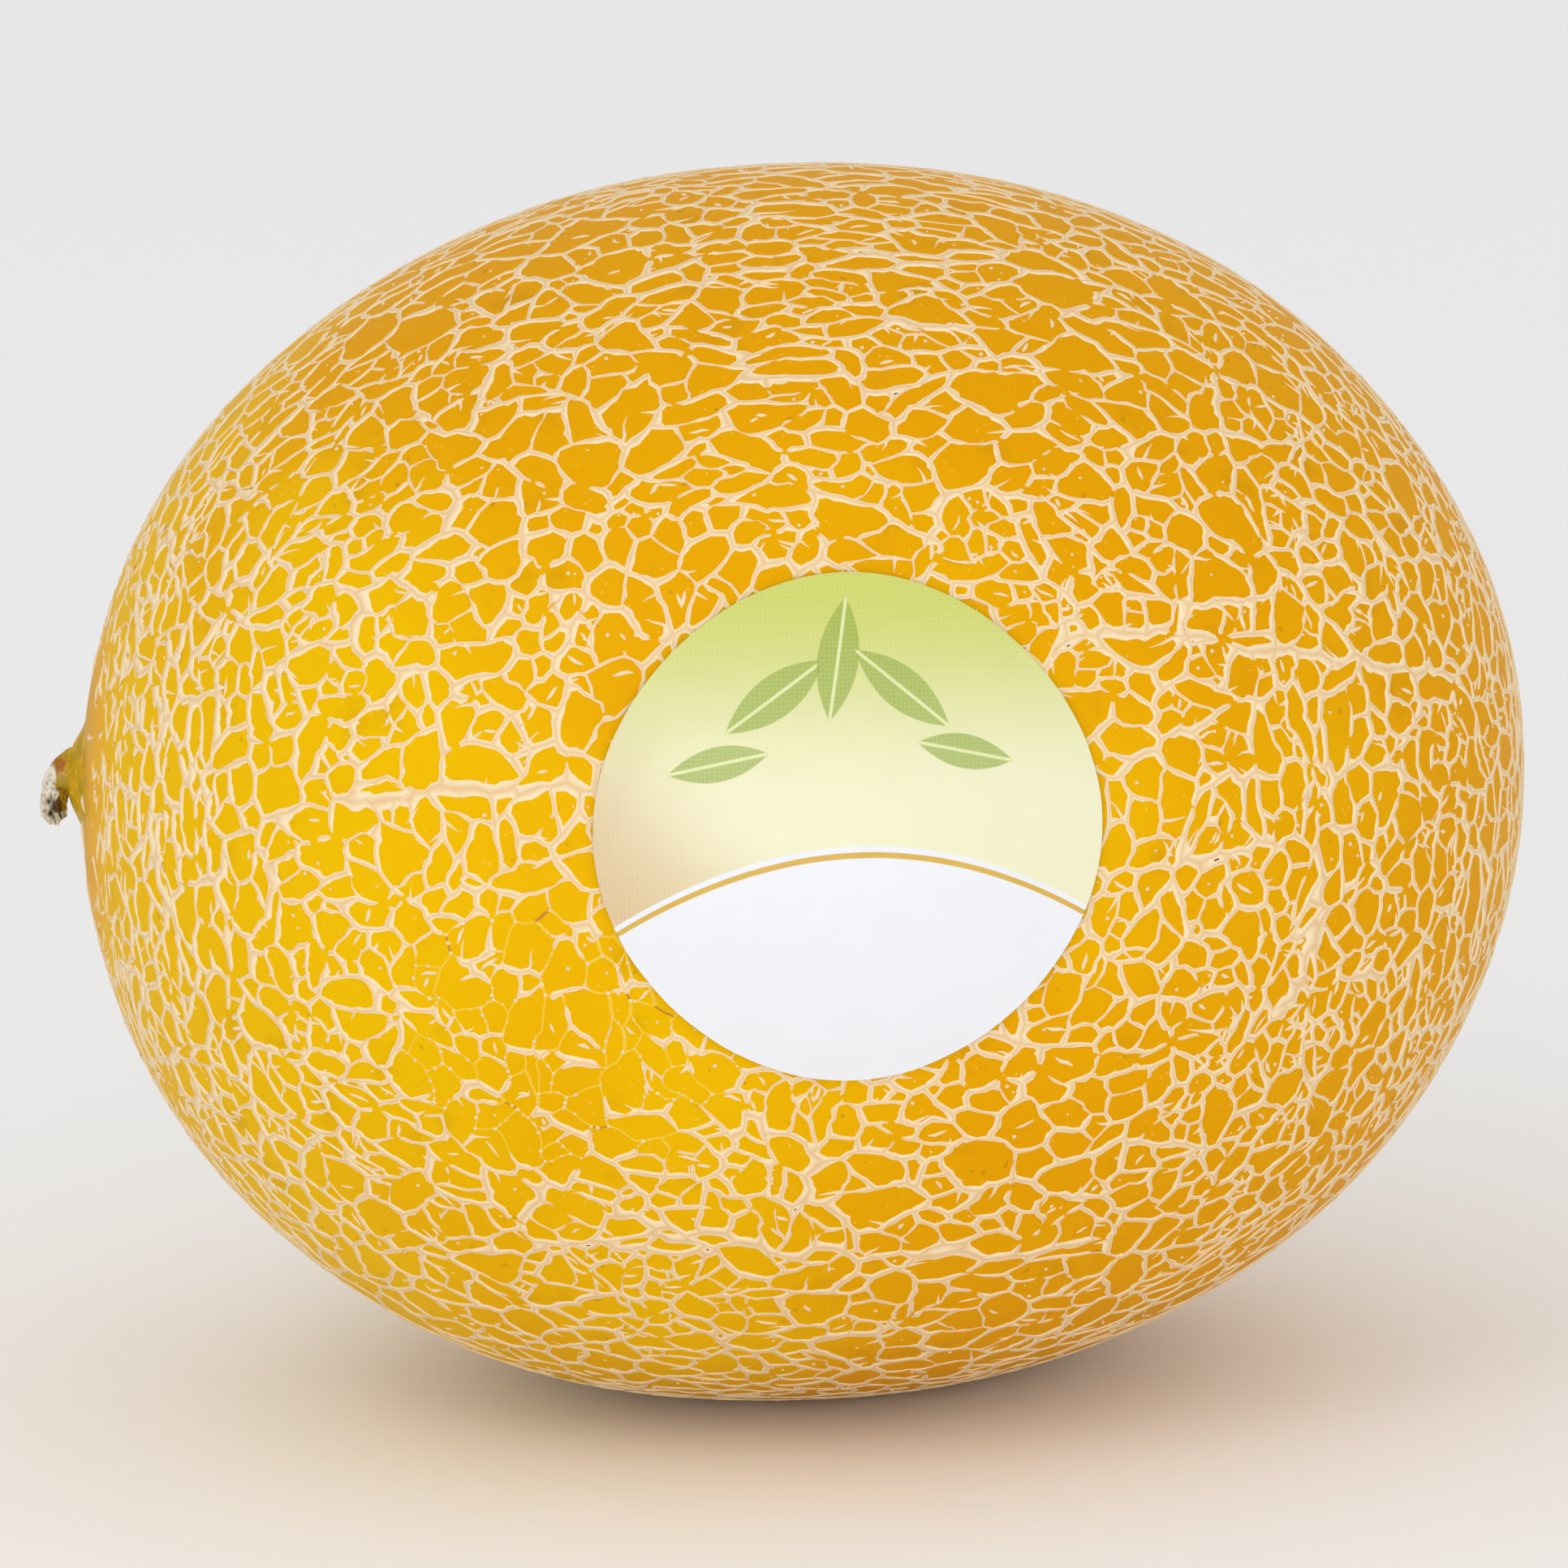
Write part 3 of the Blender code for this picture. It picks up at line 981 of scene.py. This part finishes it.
strandTree = strandGroup()
allSpurs = list(cellSpurs(np.random.default_rng(net["seed"] + 3)))
makeStrands("net_spurs_front", [line for line in allSpurs if line[0][0][1] < 0], strandTree)
makeStrands("net_spurs_back", [line for line in allSpurs if line[0][0][1] >= 0], strandTree)
makeStrands("net_dashes", cellDashes(np.random.default_rng(net["seed"] + 4)), strandTree)
makeStrands("neck_streaks", streakLines(np.random.default_rng(net["seed"] + 6)), strandTree)
makeStrands("neck_dashes", neckDashLines(np.random.default_rng(net["seed"] + 8)), strandTree)

# Faint lines in the thin place, where a crack never corked over
faint = {
    "pale": (0.845, 0.550, 0.045),
    "brown": (0.560, 0.240, 0.020),
    "halfWidth": 0.00032,
    "depth": 0.78,
    "brownEvery": 23,
}


def faintLines(brown):
    for number, edge in enumerate(edges):
        start, stop = lineSpan[edge]
        ways = netWays[lineIds[start:stop]]
        share = np.sqrt(np.clip(thinShare(ways) * 1.4, 0, 1))
        share *= 1 - 0.6 * np.clip(present[start:stop] / 0.5, 0, 1)
        isBrown = number % faint["brownEvery"] == 0
        if share.min() > 0.15 and isBrown == brown:
            yield ways, faint["halfWidth"] * share


for name, isBrown in (("faint_lines", False), ("brown_lines", True)):
    faintFinish, _, faintShader = newMaterial(name, 0.5, 0.1)
    faintShader["Base Color"].default_value = (*faint["brown" if isBrown else "pale"], 1)
    makeStrands(name, faintLines(isBrown), strandTree, faintFinish, faint["depth"])

# Beads of cork along cracks that never opened, and a few loose ones
beads = {
    "Flatness": 0.55,
    "Detail": 1,
}
beadSizes = (0.00012, 0.00027)
beadsPerCell = 0.16


def beadGroup():
    group, given, result = newGroup("corkBeads", {**beads, "Finish": corkFinish})
    ball = addNode(group, "GeometryNodeMeshIcoSphere", {"Radius": 1.0, "Subdivisions": given["Detail"]})[0]
    outward = {"Vector": attributeOf(group, "outward")}
    turn = addNode(group, "FunctionNodeAlignRotationToVector", outward, axis="Z")[0]
    size = addNode(group, "ShaderNodeCombineXYZ", {0: 1.0, 1: 1.0, 2: given["Flatness"]})[0]
    half = attributeOf(group, "half", "FLOAT")
    size = addNode(group, "ShaderNodeVectorMath", {0: size, 1: half}, operation="MULTIPLY")[0]
    inputs = {"Points": given["Geometry"], "Instance": ball, "Rotation": turn, "Scale": size}
    shape = addNode(group, "GeometryNodeInstanceOnPoints", inputs)[0]
    shape = addNode(group, "GeometryNodeRealizeInstances", {"Geometry": shape})[0]
    return endGroup(group, toned(group, shape, 0.8), given, result)


def makeBeads():
    draw = np.random.default_rng(net["seed"] + 5)
    ways = netWays[lineIds]
    chosen = (present < 0.02) & (present > -1.6) & (thinShare(ways) > 0.1) & (draw.random(len(ways)) < 0.65)
    loose = []
    for inOrder, _, heart, _ in floors:
        for _ in range(draw.poisson(beadsPerCell)):
            rim = anyCorner(inOrder, draw)
            loose.append(unit(heart + (rim - heart) * draw.uniform(0, 0.7)))
    loose = np.array(loose)
    ways = np.concatenate((ways[chosen], loose[bareShare(loose, "bits") == 0]))
    halves = draw.uniform(*beadSizes, len(ways))
    attributes = {"half": ("FLOAT", "POINT", halves)}
    attributes["outward"] = ("FLOAT_VECTOR", "POINT", skinOutward(ways))
    settings = {**beads, "Finish": corkFinish}
    mesh = facingOut(grown("net_beads", beadGroup(), settings, onSkin(ways), np.zeros((0, 2)), attributes))
    addPiece(mesh, "netted_fruit")
    print("net:", len(ways), "beads")


makeBeads()


# The skin under the net
skin = {
    "detail": 7,  # rounds of an icosphere's subdivision
    "finerWithin": (0.0130, 0.0105),  # of the axis at both ends
    "yellow": (0.800, 0.470, 0.001),
    "orange": (0.735, 0.335, 0.001),
    "brown": (0.420, 0.190, 0.004),
    "speck": (0.860, 0.560, 0.100),
    "olive": (0.400, 0.275, 0.006),
    "amber": (0.620, 0.330, 0.010),
    "tan": (0.755, 0.350, 0.018),
    "scar": (0.560, 0.380, 0.190),
    "roughness": 0.40,
}


def skinMaterial():
    material, tree, shader = newMaterial("melonSkin", skin["roughness"], 0.02)
    where = objectPlace(tree)
    x, y, z = addNode(tree, "ShaderNodeSeparateXYZ", {0: where})[:]

    def patches(scale, detail, low, high):
        return ramped(tree, noiseOf(tree, where, scale, detail), low, high)

    # A ragged distance from an axis along the fruit, for one end of it
    def axisDistance(rise, scale, ragged, otherEnd):
        away = calc(tree, "SQRT", timesPlus(tree, y, y, times(tree, rise, rise)))
        away = timesPlus(tree, noiseOf(tree, where, scale, 3.0), ragged, away)
        return timesPlus(tree, calc(tree, otherEnd, x, 0.0), 1.0, away)

    level = calc(tree, "SUBTRACT", z, float(fruitCentre[2]))
    high = calc(tree, "MAXIMUM", level, times(tree, level, -0.55))
    high = times(tree, ramped(tree, high, 0.018, 0.062), 0.55)
    zones = timesPlus(tree, x, 5.6, timesPlus(tree, noiseOf(tree, where, 24.0), 1.5, high))
    specks = ramped(tree, dotsOf(tree, where, 950.0, 1.0), 0.16, 0.10)
    up = calc(tree, "SUBTRACT", z, float(fruitCentre[2]) + fruit["neckOffset"])
    fromNeck = axisDistance(up, 190.0, 0.0075, "GREATER_THAN")
    fromScar = axisDistance(level, 700.0, 0.0016, "LESS_THAN")
    ring = times(tree, ramped(tree, fromNeck, 0.0180, 0.0130), patches(900.0, 1.0, 0.60, 0.68))
    olive = blended(tree, patches(520.0, 3.0, 0.36, 0.64), skin["olive"], skin["amber"])
    layers = (
        (patches(150.0, 3.0, 0.58, 0.78), 0.28, skin["brown"]),
        (patches(620.0, 1.0, 0.74, 0.80), 0.45, skin["brown"]),
        (times(tree, specks, patches(330.0, 0.0, 0.52, 0.60)), 0.5, skin["speck"]),
        (ramped(tree, fromNeck, 0.0280, 0.0140), 0.9, skin["tan"]),
        (ramped(tree, fromNeck, 0.0200, 0.0078), 1.0, olive),
        (ring, 0.55, skin["speck"]),
        (ramped(tree, fromScar, 0.0066, 0.0040), 0.75, skin["tan"]),
        (ramped(tree, fromScar, 0.0040, 0.0034), 1.0, skin["scar"]),
        (ramped(tree, fromScar, 0.0022, 0.0014), 0.8, skin["brown"]),
    )
    colour = blended(tree, ramped(tree, zones, 0.40, 1.15), skin["yellow"], skin["orange"])
    tree.links.new(layered(tree, colour, layers), shader["Base Color"])
    bumped(tree, shader, noiseOf(tree, where, 420.0, 3.0), 0.12, 0.0003)
    return material


def makeSkin():
    ball = bmesh.new()
    bmesh.ops.create_icosphere(ball, subdivisions=skin["detail"], radius=1)
    for reach in skin["finerWithin"]:
        near = [
            edge
            for edge in ball.edges
            if all(math.hypot(corner.co.y, corner.co.z) < reach / fruit["halfWidth"] for corner in edge.verts)
        ]
        bmesh.ops.subdivide_edges(ball, edges=near, cuts=1, use_grid_fill=True)
    bmesh.ops.triangulate(ball, faces=ball.faces[:])
    mesh = bpy.data.meshes.new("skin")
    ball.to_mesh(mesh)
    ball.free()
    mesh.vertices.foreach_set("co", onSkin(unit(coordinates(mesh))).ravel())
    mesh.shade_smooth()
    addPiece(facingOut(mesh), "netted_fruit", skinMaterial())
    print("skin:", len(mesh.polygons), "faces")


makeSkin()

# The label, a thin round sheet that lies on the ridges
label = {
    "radius": 0.0255,
    "thickness": 0.00016,
    "height": 0.00046,  # of its underside above the skin
    "along": 0.0048,
    "elevation": math.radians(7.6),
    "rings": 40,
    "sides": 120,
    "ripple": 0.00004,
}


def makeLabel():
    around = math.sqrt(1 - (label["along"] / fruit["halfLength"]) ** 2)
    level, rise = math.cos(label["elevation"]), math.sin(label["elevation"])
    middle = np.array((label["along"] / fruit["halfLength"], -around * level, around * rise))
    along, up = np.array((1, 0, 0)), np.array((0, rise, level))
    radius = np.linspace(0, 1, label["rings"] + 1)[1:]
    turn = np.arange(label["sides"]) * 2 * math.pi / label["sides"]
    rounds = np.stack((np.cos(turn), np.sin(turn)), axis=1)
    flat = np.concatenate([[(0, 0)]] + [r * rounds for r in radius])
    stepX = np.tan(flat[:, :1] * label["radius"] / fruit["halfLength"])
    stepUp = np.tan(flat[:, 1:] * label["radius"] / fruit["halfWidth"])
    ways = unit(middle + stepX * along + stepUp * up)
    ripple = label["ripple"] * waveNoise(skinPoints(ways), 0.0045, 17)
    under = onSkin(ways, label["height"] + ripple)
    over = onSkin(ways, label["height"] + label["thickness"] + ripple)
    count, sides = len(flat), label["sides"]
    faces = []
    for side in range(sides):
        after = (side + 1) % sides
        faces.append((0, 1 + side, 1 + after))
        for ring in range(label["rings"] - 1):
            a, b = 1 + ring * sides, 1 + (ring + 1) * sides
            faces.append((a + side, b + side, b + after, a + after))
    bottom = [tuple(count + corner for corner in reversed(face)) for face in faces]
    last = 1 + (label["rings"] - 1) * sides
    rim = [
        (last + side, count + last + side, count + last + (side + 1) % sides, last + (side + 1) % sides)
        for side in range(sides)
    ]
    mesh = bpy.data.meshes.new("round_label_print")
    mesh.from_pydata(np.concatenate((over, under)).tolist(), [], faces + bottom + rim)
    mesh.validate()
    uv = mesh.uv_layers.new(name="print")
    printPlaces = np.concatenate((flat, flat)) / 2 + 0.5
    corners = np.zeros(len(mesh.loops), dtype=np.int32)
    mesh.loops.foreach_get("vertex_index", corners)
    uv.data.foreach_set("uv", printPlaces[corners].ravel())
    mesh.shade_smooth()
    mesh.set_sharp_from_angle(angle=math.radians(40))
    addPiece(facingOut(mesh), "round_label", labelMaterial())
    print("label:", len(mesh.polygons), "faces")


# Leaves on the print: place, turn, length and width, in label radii
leaves = (
    (-0.30, 0.52, 35, 0.24, 0.085),
    (-0.05, 0.66, 80, 0.25, 0.085),
    (0.20, 0.54, 140, 0.24, 0.085),
    (-0.52, 0.27, 10, 0.20, 0.070),
    (0.44, 0.29, 168, 0.20, 0.070),
)
printInks = {
    "top": (0.560, 0.600, 0.115),
    "bottom": (0.790, 0.770, 0.520),
    "warm": (0.620, 0.400, 0.190),
    "line": (0.640, 0.400, 0.060),
    "leaf": (0.300, 0.400, 0.045),
    "vein": (0.700, 0.740, 0.360),
    "paper": (0.775, 0.787, 0.822),
}


def labelMaterial():
    material, tree, shader = newMaterial("labelPrint", 0.38, 0.4)
    inputs = {"Vector": addNode(tree, "ShaderNodeUVMap", {}, uv_map="print")[0]}
    inputs.update({"Location": (-1.0, -1.0, 0.0), "Scale": (2.0, 2.0, 1.0)})
    spot = addNode(tree, "ShaderNodeMapping", inputs)[0]
    x, y, _ = addNode(tree, "ShaderNodeSeparateXYZ", {0: spot})[:]
    warm = ramped(tree, timesPlus(tree, x, -0.8, times(tree, y, -0.7)), 0.20, 0.95)
    layers = [(warm, 0.75, printInks["warm"])]
    for across, up, turn, length, width in leaves:
        fromX, fromY = calc(tree, "SUBTRACT", x, across), calc(tree, "SUBTRACT", y, up)
        level, rise = math.cos(math.radians(turn)), math.sin(math.radians(turn))
        along = timesPlus(tree, fromX, level / length, times(tree, fromY, rise / length))
        aside = calc(tree, "ABSOLUTE", timesPlus(tree, fromX, -rise, times(tree, fromY, level)))
        bulge = timesPlus(tree, times(tree, along, along), -width, width)
        leaf = ramped(tree, calc(tree, "SUBTRACT", bulge, aside), 0.0, 0.006)
        layers.append((leaf, 0.8, printInks["leaf"]))
        layers.append((leaf, ramped(tree, aside, 0.009, 0.004), printInks["vein"]))
    dots = ramped(tree, dotsOf(tree, spot, 58.0, 0.0), 0.42, 0.20)
    layers.append((dots, 0.10, printInks["paper"]))
    field = blended(tree, ramped(tree, y, 0.05, 0.95), printInks["bottom"], printInks["top"])
    field = layered(tree, field, layers)
    arch = timesPlus(tree, times(tree, x, x), 0.34, calc(tree, "ADD", y, 0.06))
    colour = blended(tree, ramped(tree, arch, -0.004, 0.004), printInks["paper"], field)
    band = ramped(tree, calc(tree, "ABSOLUTE", calc(tree, "ADD", arch, 0.035)), 0.014, 0.009)
    tree.links.new(blended(tree, band, colour, printInks["line"]), shader["Base Color"])
    bumped(tree, shader, noiseOf(tree, spot, 90.0), 0.05, 0.0002)
    return material


makeLabel()

# The stub of the stalk: a hook with a lobed, wrinkled bark and a torn, woody end
stalk = {
    "root": -0.0751,
    "line": (  # how far out and down, radius and how far to the label's side, in millimetres
        (-0.9, 0.00, 3.90, 0.0),
        (0.00, 0.00, 3.35, 0.0),
        (0.55, 0.00, 2.80, 0.0),
        (1.20, 0.20, 2.42, 0.05),
        (1.75, 0.64, 2.02, 0.15),
        (2.20, 1.10, 1.55, 0.35),
        (2.52, 1.90, 1.36, 0.60),
        (2.65, 2.70, 1.30, 0.85),
        (2.66, 3.40, 1.38, 1.05),
        (2.62, 3.95, 1.28, 1.20),
        (2.57, 4.40, 1.00, 1.30),
        (2.52, 4.72, 0.62, 1.36),
    ),
    # share of the last radius, and depth in millimetres
    "recess": ((0.72, -0.02), (0.55, 0.16), (0.36, 0.42), (0.15, 0.62)),
    # share of the length, turn and size
    "pits": ((0.80, -1.75, 0.045), (0.86, -1.45, 0.040), (0.70, -1.20, 0.040), (0.90, -2.45, 0.045)),
    "steps": 96,
    "sides": 84,
    "lobes": 5,
    "lobeDepth": 0.15,
    "seed": 23,
}
bark = {
    "olive": (0.360, 0.255, 0.012),
    "golden": (0.560, 0.270, 0.012),
    "brown": (0.350, 0.120, 0.006),
    # The next colour is painted shade, laid along the underside of the hook
    "paintedShade": (0.085, 0.032, 0.004),
    "scar": (0.600, 0.370, 0.240),
    "wood": (0.720, 0.675, 0.560),
    "fibre": (0.330, 0.290, 0.170),
    # The last colour is the near black of the pits and the crack, partly their own colour and partly painted
    # shade in these hollows, and painted shade deep in the torn end's recess
    "pitAndRecessShade": (0.030, 0.020, 0.006),
}


def stalkLine():
    steps = stalk["steps"]
    knots = np.array(stalk["line"]) * 0.001
    spans = np.linalg.norm(np.diff(knots[:, :2], axis=0), axis=1)
    reach = np.concatenate(([0], np.cumsum(spans)))
    along = np.linspace(0, reach[-1], steps)
    line = np.stack([np.interp(along, reach, knots[:, n]) for n in range(4)], axis=1)
    for _ in range(14):
        line[1:-1] = (line[:-2] + 2 * line[1:-1] + line[2:]) / 4
    return line


# A turn as an angle between -180 and 180 degrees
def shortWay(turn):
    return np.angle(np.exp(1j * turn))


def makeStalk():
    steps, sides = stalk["steps"], stalk["sides"]
    line = stalkLine()
    height = fruitCentre[2] + fruit["neckOffset"]
    middles = np.stack((stalk["root"] - line[:, 0], -line[:, 3], height - line[:, 1]), axis=1)
    ways = unit(np.gradient(middles, axis=0))
    outer = unit(np.cross((0, 1, 0), ways))
    aside = np.cross(ways, outer)
    turn = np.arange(sides) * 2 * math.pi / sides
    share = np.linspace(0, 1, steps)[:, None]
    twist = turn + 0.9 * share
    lobes = 1 - stalk["lobeDepth"] * (1 - np.cos(stalk["lobes"] * twist)) / 2 * smoothStep(share / 0.35)
    ring = np.cos(turn)[None, :, None] * outer[:, None] + np.sin(turn)[None, :, None] * aside[:, None]
    places = middles[:, None] + ring * line[:, 2][:, None, None]
    flat = places.reshape(-1, 3)
    seed = stalk["seed"]
    woody = smoothStep((share - 0.44 + 0.05 * np.cos(turn + 0.4)) / 0.10)
    threads = np.zeros((steps, sides, 3))
    threads[..., 0], threads[..., 1], threads[..., 2] = np.cos(turn), np.sin(turn), share
    fibres = waveNoise(threads.reshape(-1, 3) * 0.0016, 0.00055, seed).reshape(steps, sides)
    lumps = waveNoise(flat, 0.0017, seed + 1).reshape(steps, sides)
    crumbs = waveNoise(flat, 0.00050, seed + 2).reshape(steps, sides)
    lift = 0.000045 * fibres * smoothStep(share / 0.3) + (0.00007 + 0.00005 * woody) * lumps
    lift = (lift + 0.00003 * crumbs * woody) * smoothStep(share / 0.2)
    lip = np.exp(-(((share - 0.93) / 0.035) ** 2)) * np.maximum(np.cos(turn - 3.6), 0) ** 3
    collar = np.exp(-(((share - 0.50) / 0.02) ** 2)) * (0.6 + 0.4 * np.cos(2 * turn))
    lift = lift + 0.00034 * lip + 0.00009 * collar
    pits = np.zeros((steps, sides))
    for at, angle, size in stalk["pits"]:
        away = np.hypot((share - at) / size, shortWay(turn - angle) / (size * 6))
        pits = np.maximum(pits, np.exp(-(away**2)) * (1 + 0.25 * crumbs))
    crack = shortWay(turn + 1.45 + 1.1 * (share - 0.7)) + 0.05 * fibres
    crack = np.exp(-((crack / 0.09) ** 2)) * smoothStep((share - 0.60) / 0.05)
    pits = np.maximum(pits, crack * 0.8)
    places = places + ring * (lift + line[:, 2][:, None] * (lobes - 1) - 0.00030 * pits)[:, :, None]
    out = stalk["root"] * 1000 - places[:, :, 0] * 1000
    up = (places[:, :, 2] - height) * 1000
    tint = mixed(bark["olive"], bark["golden"], smoothStep(0.45 + 0.30 * lumps + 0.25 * up))
    browned = smoothStep(out - 0.3 + 0.2 * fibres) * smoothStep(up + 0.2 + 0.4 * lumps)
    tint = mixed(tint, bark["brown"], browned)
    scar = np.exp(-(((out - 0.9) / 0.8) ** 2) - ((up - 0.5) / 0.55) ** 2)
    tint = mixed(tint, bark["scar"], np.clip(scar * (0.5 + 0.5 * crumbs), 0, 1))
    # Painted shade: the underside of the hook, from just past the root outwards, goes nearly black brown,
    # standing in for the shadow in the crease between the hook and the neck
    shade = smoothStep((out - 0.1) / 0.8) * smoothStep(-up * 0.9 - 0.3 + 0.25 * lumps)
    tint = mixed(tint, bark["paintedShade"], np.clip(shade, 0, 1) * 0.95)
    root = smoothStep((1.75 - out + 0.30 * lumps) / 0.9)
    tint = mixed(tint, mixed(skin["olive"], skin["amber"], smoothStep(0.5 + 0.4 * crumbs)), root * 0.9)
    wood = mixed(bark["wood"], bark["fibre"], smoothStep(0.30 - 0.28 * fibres - 0.20 * crumbs))
    woody = smoothStep((out - 2.05 + 0.16 * lumps + 0.08 * fibres) / 0.3) * smoothStep((share - 0.30) / 0.06)
    woody = np.maximum(woody, smoothStep((share - 0.84 + 0.015 * lumps) / 0.04))
    tint = mixed(tint, wood, woody)
    # The pits and the crack go nearly black: partly their own colour, partly painted shade in the hollows
    tint = mixed(tint, bark["pitAndRecessShade"], np.clip(pits * 1.1, 0, 1))
    rows, tints = [places], [tint]
    last = places[-1]
    centre = last.mean(axis=0)
    # Painted shade: each row of the torn end's recess is darker the deeper it lies, down to nearly black
    for size, depth in stalk["recess"]:
        row = centre + (last - centre) * size - ways[-1] * depth * 0.001
        row = row + ways[-1] * (0.00010 * waveNoise(row, 0.0006, seed + 5))[:, None]
        rows.append(row[None])
        tints.append(mixed(bark["wood"], bark["pitAndRecessShade"], np.full((1, sides), min(depth * 2.4, 1))))
    places = np.concatenate(rows)
    tints = np.concatenate(tints)
    count = len(places)
    faces = []
    for row in range(0, (count - 1) * sides, sides):
        for side in range(sides):
            after = (side + 1) % sides
            faces.append((row + side, row + after, row + sides + after, row + sides + side))
    ends = np.stack((middles[0], centre - ways[-1] * 0.0007))
    first, tip = count * sides, count * sides + 1
    for side in range(sides):
        after = (side + 1) % sides
        faces.append((first, after, side))
        faces.append((tip, (count - 1) * sides + side, (count - 1) * sides + after))
    mesh = bpy.data.meshes.new("stalk_stub")
    mesh.from_pydata(np.concatenate((places.reshape(-1, 3), ends)).tolist(), [], faces)
    # The tip at the bottom of the recess takes the same near black painted shade
    colours = np.concatenate((tints.reshape(-1, 3), (bark["olive"], bark["pitAndRecessShade"])))
    colours = np.concatenate((colours, np.ones((len(colours), 1))), axis=1)
    mesh.attributes.new("tint", "FLOAT_COLOR", "POINT").data.foreach_set("color", colours.ravel())
    mesh.shade_smooth()
    addPiece(facingOut(mesh), "stalk", barkMaterial())
    print("stalk:", len(faces), "faces")


def mixed(first, second, share):
    share = np.asarray(share)[..., None]
    return np.asarray(first) * (1 - share) + np.asarray(second) * share



def barkMaterial():
    material, tree, shader = newMaterial("dryBark", 0.7, 0.25)
    where = objectPlace(tree)
    tint = addNode(tree, "ShaderNodeAttribute", {}, attribute_name="tint")["Color"]
    grain = noiseOf(tree, where, 2600.0, 4.0)
    shade = timesPlus(tree, grain, 0.7, 0.65)
    colour = addNode(tree, "ShaderNodeVectorMath", {0: tint, 1: shade}, operation="MULTIPLY")[0]
    tree.links.new(colour, shader["Base Color"])
    bumped(tree, shader, grain, 0.5, 0.00012)
    return material


makeStalk()


def makeStage():
    floor = bmesh.new()
    size, rise, radius, steps = 3.0, 2.6, 0.8, 12
    profile = [(-size, 0)]
    profile += [
        (size - radius + radius * math.sin(turn), radius - radius * math.cos(turn))
        for turn in (math.pi / 2 * step / steps for step in range(steps + 1))
    ]
    profile.append((size, rise))
    rows = [[floor.verts.new((x, y, z)) for y, z in profile] for x in (-size, size)]
    for a, b, c, d in zip(rows[0], rows[1], rows[1][1:], rows[0][1:]):
        floor.faces.new((a, b, c, d))
    mesh = bpy.data.meshes.new("sweep")
    floor.to_mesh(mesh)
    floor.free()
    mesh.shade_smooth()
    sweep = bpy.data.objects.new("sweep", mesh)
    bpy.context.scene.collection.objects.link(sweep)
    material, _, shader = newMaterial("pale_floor", 0.9, 0.1)
    shader["Base Color"].default_value = (0.93, 0.93, 0.93, 1)
    mesh.materials.append(material)


def addLamp(name, place, size, power):
    lamp = bpy.data.lights.new(name, "AREA")
    lamp.shape = "DISK"
    lamp.size = size
    lamp.energy = power
    obj = bpy.data.objects.new(name, lamp)
    obj.location = place
    obj.rotation_euler = (Vector(fruitCentre) - Vector(place)).to_track_quat("-Z", "Y").to_euler()
    bpy.context.scene.collection.objects.link(obj)


def makeLight():
    world = bpy.data.worlds.new("studio")
    world.use_nodes = True
    world.node_tree.nodes["Background"].inputs["Color"].default_value = (1, 1, 1, 1)
    world.node_tree.nodes["Background"].inputs["Strength"].default_value = 0.84
    bpy.context.scene.world = world
    addLamp("key", (-0.8, -1.2, 1.6), 0.8, 2.4)
    addLamp("fill", (1.0, -1.3, 0.35), 1.0, 1.2)
    addLamp("low", (-0.1, -1.0, 0.03), 0.8, 4.2)


def makeCamera():
    camera = bpy.data.cameras.new("camera")
    camera.sensor_width = view["sensor"]
    camera.lens = view["lens"]
    camera.clip_end = 20
    obj = bpy.data.objects.new("camera", camera)
    tilt = view["elevation"]
    turn = Matrix.Rotation(math.pi / 2 - tilt, 3, "X") @ Matrix.Rotation(view["roll"], 3, "Z")
    middle = Vector(fruitCentre) + turn @ Vector((view["aside"], view["below"], 0))
    obj.location = middle + turn @ Vector((0, 0, view["distance"]))
    obj.rotation_euler = turn.to_euler()
    bpy.context.scene.collection.objects.link(obj)
    bpy.context.scene.camera = obj


makeStage()
makeLight()
makeCamera()
bpy.context.scene.view_settings.view_transform = "Standard"
